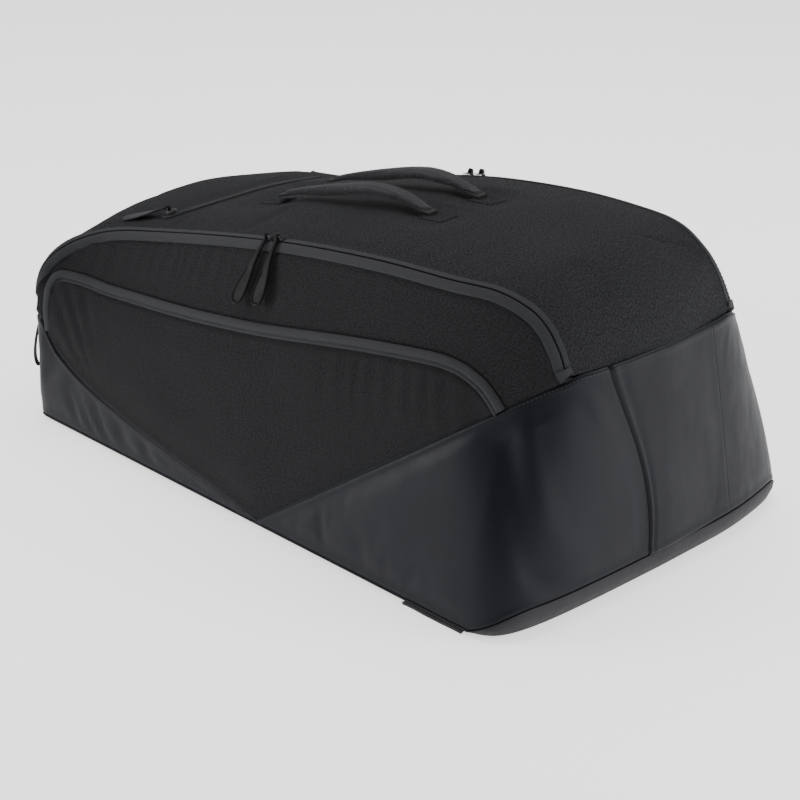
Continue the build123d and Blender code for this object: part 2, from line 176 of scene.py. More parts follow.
def top_point(column, across):
    """A point of the top, across from -1 at the front slit to 1 at the rear one."""
    row = hermite(COLUMNS, column)
    edge, crown = row[..., 2:5], row[..., 5:7]
    rise = 1 - across**2
    x = edge[..., 0] + (crown[..., 0] - edge[..., 0]) * rise
    fullness = 0.9 - 0.4 * (1 - window(column, 6.5, 9))
    z = edge[..., 2] + (crown[..., 1] - edge[..., 2]) * rise**fullness
    return np.stack([x, -across * edge[..., 1], z], -1)


def normal_of(surface, a, b, step=0.02):
    """Outward unit normals of a surface at a, b."""
    b_low = np.clip(b - step / 2, 0 if surface is wall_point else -1, 1)
    b_high = np.clip(b + step / 2, -1, 1)
    along = surface(a + step, b) - surface(a - step, b)
    up = surface(a, b_high) - surface(a, b_low)
    return unit(np.cross(along, up))


def smooth_line(points, steps=16):
    """A smooth line through a few points."""
    points = np.array(points, float)
    return hermite(points, np.linspace(0, len(points) - 1, (len(points) - 1) * steps + 1))


def placed(points):
    """A smooth line through points of the side elevation (X, height), as (column, share)."""
    columns = np.linspace(SLIT_START, SLIT_END, 1500)
    edge = hermite(COLUMNS, columns)[:, 4]
    places = []
    for x, z in smooth_line(points):
        share = (z - BASE_EDGE_Z) / (edge - BASE_EDGE_Z)
        column = np.interp(x, wall_point(columns, share)[:, 0], columns)
        places.append((column, min(np.interp(column, columns, share), 1)))
    return np.array(places)


def wall_line(line):
    """The side wall's points under a line of (column, share)."""
    return wall_point(line[:, 0], line[:, 1])


def unit(vectors):
    """Vectors scaled to length one along their last axis."""
    return vectors / np.maximum(np.linalg.norm(vectors, axis=-1, keepdims=True), 1e-9)


def run_length(line):
    return np.concatenate([[0], np.cumsum(np.linalg.norm(np.diff(line, axis=0), axis=1))])


def resample(line, at):
    """A line's rows read at fractional indices."""
    index = np.arange(len(line))
    return np.stack([np.interp(at, index, line[:, k]) for k in range(line.shape[1])], -1)


def close_to_edges(count):
    """Shares from 0 to 1 that crowd towards both ends, where the seams need detail."""
    even = np.linspace(0, 1, count)
    return even - 0.8 * np.sin(2 * np.pi * even) / (2 * np.pi)


# ---- seams of the side, as (column, share) lines through points of the side elevation ----
SEAM_FOOT = (16, 8.5)         # where the two slanted seams meet at the base
ZIP_LEFT, ZIP_RIGHT = (-374, 112), (323, 223)    # where the pocket's zip meets them
LEFT_SEAM = placed([(-396, 130), (-393, 129), (-382, 125), ZIP_LEFT])
POCKET_LEFT_SEAM = placed([ZIP_LEFT, (-364, 99), (-349, 86), (-299, 65), (-200, 45), (-78, 26),
                           SEAM_FOOT])
POCKET_RIGHT_SEAM = placed([SEAM_FOOT, ZIP_RIGHT])
RIGHT_SEAM = placed([ZIP_RIGHT, (365, 252.5)])
POCKET_ZIP = placed([ZIP_LEFT, (-378, 130), (-380, 148), (-378, 170), (-368, 184), (-345, 184),
                     (-290, 181), (-175, 191), (-44, 210), (115, 239), (214, 253), (258, 254),
                     (291, 245), (312, 232), ZIP_RIGHT])
NARROW_SEAM = np.concatenate([LEFT_SEAM, POCKET_LEFT_SEAM])
RACKET_SEAM = np.concatenate([POCKET_RIGHT_SEAM, RIGHT_SEAM])
ROUND_NARROW_END = 80         # points of the pocket's zip before it has turned the narrow end


# ---- fabric relief, in millimetres outward ----
def large_sag(x, y, z):
    """Slow unevenness of fabric that nothing stretches."""
    return (0.9 * np.sin(x / 61 + 0.7 * np.sin(z / 43)) * np.sin(z / 52 + y / 70 + 1)
            + 0.5 * np.sin(x / 29 + z / 37 + y / 33))


def wrinkled(x, pitch, wander):
    return np.sin(2 * np.pi * x / pitch + 1.6 * np.sin(x / wander) + 0.9 * np.sin(x / (wander * 0.43) + 1))


def zip_ripples(x, fall, depth=1.0):
    """Short upright puckers where a panel is sewn to a zip; fall is the distance from the zip."""
    fade = window(fall, 6, 20) * (1 - window(fall, 30, 78))
    patchy = 0.45 + 0.55 * np.sin(x / 47 + 2) * np.sin(x / 83)
    return depth * fade * patchy * wrinkled(x, 21, 31)


def seam_dip(distance, depth=1.5, width=2.2):
    """Fabric pulled down where it is sewn, with the small roll beside it."""
    roll = 0.5 * depth * bump(distance, 2.6 * width, 1.6 * width)
    return -depth * bump(distance, 0, width) + roll


def tape_edge(distance, width):
    """The step beside a tape's free edge: fabric dips at its stitches and swells past them."""
    return -1.1 * bump(distance, width + 0.6, 1.6) + 1.1 * bump(distance, width + 7, 4.5)


# ---- materials ----
def material(name):
    """A new node material and its principled shader."""
    made = bpy.data.materials.new(name)
    made.use_nodes = True
    return made, made.node_tree, made.node_tree.nodes["Principled BSDF"]


def node(tree, kind, **values):
    made = tree.nodes.new(kind)
    for key, value in values.items():
        setattr(made, key, value)
    return made


def feed(tree, socket, value):
    """Links a node's output to a socket, or sets the socket's constant."""
    if isinstance(value, bpy.types.NodeSocket):
        tree.links.new(value, socket)
    else:
        socket.default_value = (*value, 1) if isinstance(value, tuple) else value


def math_node(tree, operation, *values):
    made = node(tree, "ShaderNodeMath", operation=operation)
    for socket, value in zip(made.inputs, values):
        feed(tree, socket, value)
    return made.outputs[0]


def coordinates(tree, source="UV", scale=(1, 1, 1)):
    where = node(tree, "ShaderNodeTexCoord")
    mapping = node(tree, "ShaderNodeMapping")
    mapping.inputs["Scale"].default_value = scale
    tree.links.new(where.outputs[source], mapping.inputs["Vector"])
    return mapping.outputs["Vector"]


def noise(tree, vector, scale, detail=3.0, roughness=0.55):
    made = node(tree, "ShaderNodeTexNoise")
    made.inputs["Scale"].default_value = scale
    made.inputs["Detail"].default_value = detail
    made.inputs["Roughness"].default_value = roughness
    tree.links.new(vector, made.inputs["Vector"])
    return made.outputs["Fac"]


def ramp(tree, factor, low, high, dark, light):
    """A colour from dark to light as factor goes from low to high."""
    made = node(tree, "ShaderNodeValToRGB")
    made.color_ramp.elements[0].position = low
    made.color_ramp.elements[1].position = high
    made.color_ramp.elements[0].color = (*dark, 1)
    made.color_ramp.elements[1].color = (*light, 1)
    tree.links.new(factor, made.inputs["Fac"])
    return made.outputs["Color"]


def mix_colour(tree, factor, first, second, mode="MIX"):
    made = node(tree, "ShaderNodeMix", data_type="RGBA", blend_type=mode)
    colours = [socket for socket in made.inputs if socket.type == "RGBA"]
    for socket, value in zip((made.inputs["Factor"], *colours), (factor, first, second)):
        feed(tree, socket, value)
    return [socket for socket in made.outputs if socket.type == "RGBA"][0]


def finish_material(tree, shader, colour, rough, height, distance, specular=0.5, sheen=0.0):
    """Gives a shader its colour, roughness, gloss and sheen, and a bump that is distance deep."""
    for socket, value in (("Base Color", colour), ("Roughness", rough), ("Specular IOR Level", specular),
                          ("Sheen Weight", sheen)):
        feed(tree, shader.inputs[socket], value)
    made = node(tree, "ShaderNodeBump")
    made.inputs["Strength"].default_value = 1.0
    made.inputs["Distance"].default_value = distance
    tree.links.new(height, made.inputs["Height"])
    tree.links.new(made.outputs["Normal"], shader.inputs["Normal"])


def rough_ramp(tree, factor, low, high, smoothest, roughest):
    """Roughness that follows a noise."""
    return ramp(tree, factor, low, high, (smoothest,) * 3, (roughest,) * 3)


def rib_height(tree, vector, axis, pitch):
    """Height of ribs that repeat along one axis."""
    split = node(tree, "ShaderNodeSeparateXYZ")
    tree.links.new(vector, split.inputs["Vector"])
    turn = math_node(tree, "MULTIPLY", split.outputs[axis], 2 * math.pi / pitch)
    return math_node(tree, "SINE", turn)


def weave_height(tree, vector, pitch):
    """Height of crossing yarns: warp and weft take turns on top."""
    warp = rib_height(tree, vector, "X", pitch)
    weft = rib_height(tree, vector, "Y", pitch)
    return math_node(tree, "MULTIPLY", warp, weft)


def woven(name, dark, light, pitch=0.0009, rough=0.9, distance=0.0016, sheen=0.05, source="UV"):
    """Matt woven polyester: crossing yarns, yarn to yarn colour, slow shade changes, soft sheen."""
    made, tree, shader = material(name)
    yarns = weave_height(tree, coordinates(tree, source), pitch)
    slub = noise(tree, coordinates(tree, source, (1, 1.6, 1)), 340, 1.0, 0.6)
    slow = noise(tree, coordinates(tree, "Object"), 9, 3.0)
    height = math_node(tree, "ADD", math_node(tree, "MULTIPLY", yarns, 0.5), slub)
    yarn_colour = ramp(tree, slub, 0.44, 0.56, dark, light)
    shade = ramp(tree, slow, 0.3, 0.7, (0.86, 0.86, 0.87), (1, 1, 1))
    colour = mix_colour(tree, 1.0, yarn_colour, shade, "MULTIPLY")
    roughness = rough_ramp(tree, slub, 0.2, 0.8, rough - 0.08, min(rough + 0.08, 1))
    finish_material(tree, shader, colour, roughness, height, distance, 0.15, sheen)
    return made


def coated(name, dark, light, rough=0.46, grain=0.00006):
    """Smooth film-coated fabric: satin, with a very fine grain and slow shade changes."""
    made, tree, shader = material(name)
    vector = coordinates(tree, "Object")
    slow = noise(tree, vector, 6, 4.0)
    fine = noise(tree, vector, 1500, 3.0, 0.7)
    scuff = noise(tree, coordinates(tree, "Object", (30, 30, 8)), 3, 6.0, 0.7)
    colour = ramp(tree, slow, 0.3, 0.7, dark, light)
    roughness = rough_ramp(tree, scuff, 0.35, 0.7, rough - 0.05, rough + 0.07)
    finish_material(tree, shader, colour, roughness, fine, grain, 0.115)
    return made


def ribbed(name, dark, light, axis, pitch, rough=0.7, distance=0.00025):
    """Narrow woven tape or webbing with ribs across one axis."""
    made, tree, shader = material(name)
    vector = coordinates(tree)
    ribs = rib_height(tree, vector, axis, pitch)
    cross = rib_height(tree, vector, "X" if axis == "Y" else "Y", pitch * 0.6)
    yarn = noise(tree, vector, 900, 2.0, 0.7)
    weave = math_node(tree, "ADD", ribs, math_node(tree, "MULTIPLY", cross, 0.35))
    height = math_node(tree, "ADD", weave, yarn)
    colour = ramp(tree, yarn, 0.3, 0.7, dark, light)
    roughness = rough_ramp(tree, yarn, 0.2, 0.8, rough - 0.08, rough + 0.1)
    finish_material(tree, shader, colour, roughness, height, distance, 0.25, 0.06)
    return made


def worn_edges(tree, colour, worn):
    """The colour, rubbed to worn where an edge stands out."""
    shape = node(tree, "ShaderNodeNewGeometry")
    specks = noise(tree, coordinates(tree, "Object"), 300, 4.0, 0.7)
    edge = ramp(tree, shape.outputs["Pointiness"], 0.52, 0.6, (0, 0, 0), (1, 1, 1))
    speck = ramp(tree, specks, 0.45, 0.6, (0, 0, 0), (1, 1, 1))
    return mix_colour(tree, math_node(tree, "MULTIPLY", edge, speck), colour, worn)


def metal(name, colour, worn, rough=0.32):
    """Painted die-cast metal, rubbed bright on its edges."""
    made, tree, shader = material(name)
    cast = noise(tree, coordinates(tree, "Object"), 700, 3.0)
    roughness = rough_ramp(tree, cast, 0.3, 0.7, rough - 0.07, rough + 0.12)
    finish_material(tree, shader, worn_edges(tree, colour, worn), roughness, cast, 0.00005)
    shader.inputs["Metallic"].default_value = 0.85
    return made


def moulded(name, colour, light, rough, distance=0.00006, coat=0.0):
    """Moulded plastic or rubber with a fine skin texture."""
    made, tree, shader = material(name)
    skin = noise(tree, coordinates(tree, "Object"), 1100, 4.0, 0.65)
    smear = noise(tree, coordinates(tree, "Object"), 60, 4.0, 0.6)
    roughness = rough_ramp(tree, smear, 0.3, 0.75, rough - 0.08, rough + 0.12)
    finish_material(tree, shader, ramp(tree, smear, 0.3, 0.7, colour, light), roughness, skin, distance, 0.1)
    shader.inputs["Coat Weight"].default_value = coat
    shader.inputs["Coat Roughness"].default_value = 0.2
    return made


def spacer_mesh(name, dark, light):
    """Knitted air mesh: rows of small dark holes in a soft face."""
    made, tree, shader = material(name)
    cells = node(tree, "ShaderNodeTexVoronoi", feature="F1")
    cells.inputs["Scale"].default_value = 420
    cells.inputs["Randomness"].default_value = 0.12
    tree.links.new(coordinates(tree), cells.inputs["Vector"])
    holes = cells.outputs["Distance"]
    colour = ramp(tree, holes, 0.12, 0.42, dark, light)
    finish_material(tree, shader, colour, 0.92, holes, 0.0006, sheen=0.3)
    return made


# One woven polyester in two copies: the top's copy is lighter and the sides' copy darker, which is painted
# light and painted shade.
WOVEN = woven("woven_polyester", (0.0040, 0.0042, 0.0062), (0.0310, 0.0319, 0.0385))
SHADED_SIDE_WOVEN = woven("woven_polyester_side_painted_shade", (0.0005, 0.0006, 0.0015), (0.0165, 0.0172, 0.0220))
COATED = coated("coated_fabric", (0.0050, 0.0053, 0.0080), (0.0072, 0.0076, 0.0108))
LINING = woven("lining_fabric", (0.05, 0.052, 0.056), (0.085, 0.087, 0.092), 0.0016, 0.8, 0.0002)
BASE = coated("base_fabric", (0.020, 0.020, 0.022), (0.028, 0.028, 0.030), 0.6, 0.00035)
TAPE = ribbed("zip_tape", (0.008, 0.0084, 0.0105), (0.026, 0.0268, 0.0315), "Y", 0.0011)
TOP_TAPE = ribbed("top_zip_tape", (0.004, 0.0042, 0.006), (0.016, 0.0165, 0.020), "Y", 0.0011)
WEBBING = ribbed("webbing", (0.007, 0.007, 0.0085), (0.017, 0.017, 0.020), "X", 0.0017, 0.75, 0.0004)
GRIP = woven("handle_fabric", (0.008, 0.0083, 0.010), (0.021, 0.0215, 0.025), 0.0008, 0.8, 0.0002, 0.1,
             "Object")
PULL_FABRIC = woven("pull_tab_fabric", (0.010, 0.0103, 0.012), (0.026, 0.0265, 0.030), 0.0008, 0.7,
                    0.0002, 0.1)
STRAP_MESH = spacer_mesh("strap_mesh", (0.003, 0.003, 0.004), (0.020, 0.021, 0.023))
THREAD = ribbed("thread", (0.010, 0.010, 0.012), (0.028, 0.028, 0.032), "X", 0.0007, 0.6, 0.0001)
METAL = metal("slider_metal", (0.016, 0.016, 0.018), (0.25, 0.25, 0.27))
RUBBER = moulded("pull_rubber", (0.002, 0.002, 0.0026), (0.004, 0.004, 0.0050), 0.5)
PLASTIC = moulded("moulded_plastic", (0.010, 0.010, 0.011), (0.018, 0.018, 0.020), 0.42, 0.00012, 0.05)
TEETH = moulded("zip_teeth", (0.006, 0.006, 0.007), (0.014, 0.014, 0.016), 0.35)


# ---- mesh building ----
def to_frame(points):
    """Design millimetres to the frame's metres."""
    points = np.array(points, float) / 1000
    points[..., 0] += MIDDLE_X
    return points


def from_frame(point):
    """The frame's metres to design millimetres."""
    point = np.array(point, float)
    return (point - (MIDDLE_X, 0, 0)) * 1000


def link(obj):
    """Puts an object in the scene."""
    bpy.context.scene.collection.objects.link(obj)
    return obj


def read(items, key, width=1, kind=np.float32):
    """One attribute of every item of a mesh, as an array with width columns."""
    values = np.zeros(len(items) * width, kind)
    items.foreach_get(key, values)
    return values.reshape(-1, width) if width > 1 else values


def build(name, points, faces, materials, face_material=None, uv=None, sharp=50):
    """A mesh object from design points; uv gives each point its place on the cloth in metres."""
    mesh = bpy.data.meshes.new(name)
    face_list = faces.tolist() if isinstance(faces, np.ndarray) else faces
    mesh.from_pydata(to_frame(points).reshape(-1, 3).tolist(), [], face_list)
    for each in materials:
        mesh.materials.append(each)
    if face_material is not None:
        mesh.polygons.foreach_set("material_index", np.asarray(face_material, np.int32))
    if uv is not None:
        corners = read(mesh.loops, "vertex_index", kind=np.int32)
        layer = mesh.uv_layers.new(name="cloth")
        layer.uv.foreach_set("vector", np.asarray(uv, np.float32).reshape(-1, 2)[corners].ravel())
    mesh.polygons.foreach_set("use_smooth", np.ones(len(mesh.polygons), bool))
    mesh.validate()
    mesh.set_sharp_from_angle(angle=math.radians(sharp))
    return link(bpy.data.objects.new(name, mesh))


def mirrored(obj, side):
    """The same piece for the rear side."""
    if side == "rear":
        obj.data.transform(Matrix.Scale(-1, 4, (0, 1, 0)))
        obj.data.flip_normals()
    return obj


def grid_faces(rows, columns, start=0, flip=False):
    first = (np.arange(rows - 1)[:, None] * columns + np.arange(columns - 1)[None]).ravel() + start
    faces = np.stack([first, first + 1, first + columns + 1, first + columns], -1)
    return faces[:, ::-1] if flip else faces


def cloth_uv(points):
    """Distance along the rows and columns of a grid, in metres."""
    middle_row = points[len(points) // 2]
    middle_column = points[:, points.shape[1] // 2]
    return np.stack(np.meshgrid(run_length(middle_row), run_length(middle_column)), -1) / 1000


def simulate(obj, pressure, spare=0.0, pinned=""):
    """Runs a short cloth simulation without gravity and returns how far each point moved."""
    rest = mesh_points(obj)
    cloth = obj.modifiers.new("cloth", "CLOTH")
    cloth.settings.use_pressure = True
    cloth.settings.uniform_pressure_force = pressure
    cloth.settings.effector_weights.gravity = 0
    cloth.settings.quality = 5
    cloth.settings.mass = 0.3
    cloth.settings.tension_stiffness = 15
    cloth.settings.bending_stiffness = 0.3 if pinned else 2
    cloth.settings.shrink_min = -spare
    cloth.settings.vertex_group_mass = pinned
    cloth.point_cache.frame_start, cloth.point_cache.frame_end = 1, DRAPE_STEPS
    for step in range(DRAPE_STEPS):
        bpy.context.scene.frame_set(step + 1)
    bake(obj)
    bpy.context.scene.frame_set(1)
    return mesh_points(obj) - rest


def bake(obj):
    """Replaces the mesh by what its modifiers make of it."""
    bpy.context.view_layer.update()
    seen = obj.evaluated_get(bpy.context.evaluated_depsgraph_get())
    made = bpy.data.meshes.new_from_object(seen)
    obj.modifiers.clear()
    obj.data = made


def mesh_points(obj):
    return read(obj.data.vertices, "co", 3).astype(float)


def move_points(obj, points):
    obj.data.vertices.foreach_set("co", points.astype(np.float32).ravel())
    obj.data.update()


def draped(points, held=0.0):
    """A panel sewn down all round, with a little spare cloth, pushed outward from inside; held
    is 1 where something sewn on keeps it still."""
    rows, columns = points.shape[:2]
    along = np.cumsum(np.linalg.norm(np.diff(points, axis=1, prepend=points[:, :1]), axis=-1), axis=1)
    up = np.cumsum(np.linalg.norm(np.diff(points, axis=0, prepend=points[:1]), axis=-1), axis=0)
    inside = np.minimum(np.minimum(along, along[:, -1:] - along), np.minimum(up, up[-1:] - up))
    piece = build("draped_panel", points, grid_faces(rows, columns), [COATED])
    sewn = piece.vertex_groups.new(name="sewn")
    sewn.add(np.flatnonzero(inside.ravel() < SEWN_MARGIN).tolist(), 1.0, "REPLACE")
    moved = simulate(piece, 2.0, SPARE_CLOTH, "sewn").reshape(points.shape) * 1000
    bpy.data.objects.remove(piece)
    size = np.linalg.norm(moved, axis=-1, keepdims=True)
    soft_limit = DRAPE_LIMIT * np.tanh(size / DRAPE_LIMIT) / np.maximum(size, 1e-6)
    return points + moved * soft_limit * (window(inside, SEWN_MARGIN, 30) * (1 - held))[..., None]


def fabric(name, points, normals, outer, thickness=WALL, inner=LINING):
    """A closed layer of fabric: an outer face, an inner face and turned edges."""
    rows, columns = points.shape[:2]
    count = rows * columns
    both = np.concatenate([points.reshape(-1, 3), (points - normals * thickness).reshape(-1, 3)])
    index = np.arange(count).reshape(rows, columns)
    faces = [grid_faces(rows, columns), grid_faces(rows, columns, count, True)]
    edges = [index[0], index[-1][::-1], index[::-1, 0], index[:, -1]]
    for edge in edges:
        faces.append(np.stack([edge[:-1], edge[:-1] + count, edge[1:] + count, edge[1:]], -1))
    kinds = np.concatenate([np.full(len(f), 1 if k == 1 else 0) for k, f in enumerate(faces)])
    uv = np.concatenate([cloth_uv(points).reshape(-1, 2)] * 2)
    return build(name, both, np.concatenate(faces), [outer, inner], kinds, uv)


def patch(low, high):
    """A grid of (column, share) between a lower and an upper line on the side wall."""
    lower, upper = wall_line(low), wall_line(high)
    run = run_length((lower + upper) / 2)
    columns = int(run[-1] / SPACING) + 2
    at = np.interp(close_to_edges(columns) * run[-1], run, np.arange(len(run)))
    low, high = resample(low, at), resample(high, at)
    tall = np.linalg.norm(upper - lower, axis=1).max()
    share = close_to_edges(int(tall / SPACING) + 6)[:, None, None]
    grid = low[None] * (1 - share) + high[None] * share
    height = np.linalg.norm(wall_line(high) - wall_line(low), axis=1)
    from_low, from_high = share[..., 0] * height, (1 - share[..., 0]) * height
    return grid[..., 0], grid[..., 1], from_low, from_high


def side_cloth(name, low, high, relief, outer, bow=0, calm=LAST + 1):
    """Fabric over a patch of the side wall, lifted by relief(...) in millimetres. Its far edge
    may bow, and past column calm it is pulled smooth."""
    column, share, from_low, from_high = patch(low, high)
    if bow:
        column = bowed(column, share, bow)
    points = wall_point(column, share)
    normals = normal_of(wall_point, column, share)
    lift = relief(points, column, share, from_low, from_high)
    held = 0.7 * window(column, calm, calm + 2)
    return fabric(name, draped(points + normals * lift[..., None], held), normals, outer)


def frames_along(line, normals):
    """Unit tangents and sideways directions of a line on a surface."""
    tangent = unit(np.gradient(line, axis=0))
    return tangent, unit(np.cross(normals, tangent))


def spaced(line, normals, spacing):
    """The line and its normals at even distances."""
    run = run_length(line)
    count = max(int(run[-1] / spacing), 2)
    at = np.interp(np.linspace(0, run[-1], count), run, np.arange(len(run)))
    return resample(line, at), resample(normals, at)


def tube(name, rings, line, section, outer):
    """A closed strip through rings of points, with flat ends. Its weave runs along the line and
    round the section."""
    count = len(section)
    ring = np.arange(count)
    after = np.roll(ring, -1)
    start = np.arange(len(line) - 1)[:, None] * count
    faces = np.stack([start + ring, start + after, start + count + after, start + count + ring], -1)
    faces = faces.reshape(-1, 4).tolist() + [ring[::-1].tolist(), (ring + start[-1] + count).tolist()]
    around = run_length(np.concatenate([section, section[:1]]))[:-1]
    uv = np.stack(np.broadcast_arrays(run_length(line)[:, None], around[None]), -1) / 1000
    return build(name, rings, faces, [outer], uv=uv)


def sweep(name, line, normals, profile, outer, spacing=4.0, taper=np.ones_like):
    """A closed strip along a line: profile points are (sideways, outward) in millimetres, and
    taper gives the strip's width from its share of the run."""
    line, normals = spaced(line, normals, spacing)
    side = frames_along(line, normals)[1]
    profile = np.array(profile, float)
    scale = taper(np.linspace(0, 1, len(line)))
    rings = (line[:, None] + side[:, None] * profile[None, :, :1] * scale[:, None, None]
             + normals[:, None] * profile[None, :, 1:])
    return tube(name, rings, line, profile, outer)


def stitch_row(name, line, normals, pitch=4.4, length=3.1, width=0.45, lift=0.5, outer=THREAD):
    """A row of thread stitches along a line, each thickest in the middle."""
    line, normals = spaced(line, normals, pitch)
    tangent, side = frames_along(line, normals)
    points, faces = [], []
    for centre, ahead, across, out in zip(line, tangent, side, normals):
        start = len(points)
        for along, wide, high in ((-0.5, 0.55, -0.35), (0, 1, 0.25), (0.5, 0.55, -0.35)):
            middle = centre + ahead * along * length + out * (lift + high)
            for turn in range(4):
                angle = math.pi / 2 * turn
                points.append(middle + across * math.cos(angle) * width * wide
                              + out * math.sin(angle) * width * wide)
        for ring in (start, start + 4):
            for k in range(4):
                after = (k + 1) % 4
                faces.append([ring + k, ring + after, ring + 4 + after, ring + 4 + k])
        faces.append([start + 3, start + 2, start + 1, start])
        faces.append([start + 8, start + 9, start + 10, start + 11])
    return build(name, points, faces, [outer])


# ---- joining pieces to bodies ----
def half_of(obj, name, keep):
    """A copy of the faces marked keep, with the whole piece's shading kept across the cut."""
    mesh = obj.data
    corner_vertex = read(mesh.loops, "vertex_index", kind=np.int32)
    corner_normal = read(mesh.corner_normals, "vector", 3)
    starts, totals, kinds = (read(mesh.polygons, key, kind=np.int32)
                             for key in ("loop_start", "loop_total", "material_index"))
    faces = [corner_vertex[s:s + t] for s, t, k in zip(starts, totals, keep) if k]
    corners = np.concatenate([np.arange(s, s + t) for s, t, k in zip(starts, totals, keep) if k])
    used, renamed = np.unique(np.concatenate(faces), return_inverse=True)
    sizes = np.cumsum([len(f) for f in faces])[:-1]
    points = read(mesh.vertices, "co", 3)[used]
    made = bpy.data.meshes.new(name)
    made.from_pydata(points.tolist(), [], [face.tolist() for face in np.split(renamed, sizes)])
    for each in mesh.materials:
        made.materials.append(each)
    made.polygons.foreach_set("material_index", kinds[keep])
    made.polygons.foreach_set("use_smooth", np.ones(len(made.polygons), bool))
    if mesh.uv_layers:
        cloth = read(mesh.uv_layers[0].uv, "vector", 2)[corners]
        made.uv_layers.new(name="cloth").uv.foreach_set("vector", cloth.ravel())
    made.normals_split_custom_set(corner_normal[corners].tolist())
    return link(bpy.data.objects.new(name, made))


def settle(obj):
    """The rear slumps: its racket-head corner falls inward and its narrow end sits lower. The
    foot of the narrow end curves under."""
    points = mesh_points(obj)
    x, y, z = ((points - (MIDDLE_X, 0, 0)) * 1000).T
    inward = REAR_SLUMP * window(x, 290, 392) * window(y, 90, 225) * (0.8 + 0.2 * bump(z, 130, 90))
    sink = REAR_SINK * window(y, 0, 150) * (1 - window(x, -200, -50)) * window(z, 60, 220)
    rounding = FOOT_ROUND * np.clip(1 - z / 40, 0, 1) ** 2 * (1 - window(x, -396, -350))
    move_points(obj, points - np.stack([inward - rounding, inward, sink], -1) / 1000)


def dress(obj, nodes=()):
    """Settles a piece, and hides the CAD nodes that it stands for."""
    settle(obj)
    for each in nodes:
        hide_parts(each)
    return obj


def bend_end(obj, span):
    """Bakes the piece's transform into its mesh; span, its X range, is not used."""
    start, end = (to_frame((x, 0, 0)) for x in span)
    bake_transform(obj)


def bend(obj, nodes=()):
    """A piece that crosses both ends of an opening side is divided at CUT_X, and each half is
    dressed and has its transform baked."""
    left = read(obj.data.polygons, "center", 3)[:, 0] < to_frame((CUT_X, 0, 0))[0]
    for keep, word, span in ((left, "left", BEND_LEFT), (~left, "right", BEND_RIGHT)):
        if keep.any():
            half = dress(half_of(obj, f"{obj.name}_{word}", keep), nodes)
            bend_end(half, span)
    bpy.data.objects.remove(obj)


def ride(obj, body, nodes=()):
    """The piece moves with one body."""
    dress(obj, nodes)
    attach(obj, body)


# ---- the side walls ----
def upper_panel(side):
    """Woven panel between the main zip and the pocket zip."""
    low = np.concatenate([LEFT_SEAM, POCKET_ZIP, RIGHT_SEAM])
    begin = np.linspace(SLIT_START, 4.6, len(LEFT_SEAM))
    pocket = POCKET_ZIP[:, 0]
    even = np.linspace(4.6, pocket[-1], len(pocket))
    turning = np.arange(len(pocket)) < ROUND_NARROW_END
    follow = np.maximum.accumulate(np.where(turning, even * 0.6 + pocket * 0.4, pocket))
    end = np.linspace(pocket[-1], SLIT_END, len(RIGHT_SEAM))
    high = upper_line(np.concatenate([begin, follow, end]))

    def relief(points, column, share, from_low, from_high):
        x, y, z = points[..., 0], points[..., 1], points[..., 2]
        calm = window(np.abs(x - CUT_X), 0, 50)
        ripples = zip_ripples(x, from_high, 1.0) * window(-x, -10, 90) * (1 - window(-x, 330, 380))
        return (large_sag(x, y, z) * 0.8 * window(np.minimum(from_low, from_high), 0, 25)
                + ripples * calm + seam_dip(from_low) + seam_dip(from_high, 0.8)
                + tape_edge(from_high, LOWER_TAPE))

    return mirrored(side_cloth(f"{side}_upper_panel", low, high, relief, SHADED_SIDE_WOVEN), side)


def pocket_panel(side):
    """The large pocket's face, a little filled out."""
    low = np.concatenate([POCKET_LEFT_SEAM, POCKET_RIGHT_SEAM])
    run, low_run = run_length(wall_line(POCKET_ZIP)), run_length(wall_line(low))
    at = np.interp(low_run / low_run[-1] * run[-1], run, np.arange(len(run)))
    high = resample(POCKET_ZIP, at)

    def relief(points, column, share, from_low, from_high):
        x, y, z = points[..., 0], points[..., 1], points[..., 2]
        inside = np.minimum(from_low, from_high)
        puff = POCKET_PUFF * window(inside, 0, 55) * (1 - 0.5 * window(column, 13.5, 15.2))
        calm = window(np.abs(x - CUT_X), 0, 50)
        folds = 0.9 * window(x, 20, 110) * wrinkled(x + 0.35 * z, 27, 41)
        folds = folds * window(from_high, 12, 26) * (1 - window(from_high, 40, 95))
        corner = 1.0 * bump(x, -335, 45) * wrinkled(x + 0.8 * z, 30, 37) * window(inside, 8, 30)
        return (puff + (folds + corner) * calm + large_sag(x, y, z) * 0.8 * window(inside, 0, 30)
                + seam_dip(from_low) + seam_dip(from_high, 0.6) + tape_edge(from_high, POCKET_TAPE))

    return mirrored(side_cloth(f"{side}_pocket_panel", low, high, relief, SHADED_SIDE_WOVEN), side)


def rim_share(column):
    """Share of the wall's height where the base lip ends: zero along the sides."""
    row = hermite(COLUMNS, column)
    height = LIP_HEIGHT * window(column, *LIP_GROWS)
    return np.clip((height - BASE_EDGE_Z) / (row[..., 4] - BASE_EDGE_Z), 0, 1)


def smooth_relief(points, column, share, from_low, from_high):
    """Soft hollows of the coated fabric round the racket-head corner: one long valley slants
    down towards the end, with a rounded fold beside it. All of it fades out at the end seam."""
    x, y, z = points[..., 0], points[..., 1], points[..., 2]
    inside = np.minimum(from_low, from_high)
    to_seam = column[:, -1:] - column
    slant = column - (15.2 + 6 * (0.72 - share))
    hollow = -6.5 * bump(slant, 0, 0.8)
    fold = 2.5 * bump(slant, 1.3, 0.7)
    sag = 0.8 * large_sag(x, y, z)
    return ((hollow + fold + sag) * window(inside, 0, 40) * window(to_seam, 0, 0.7)
            + seam_dip(from_low, 1.2) + seam_dip(from_high))


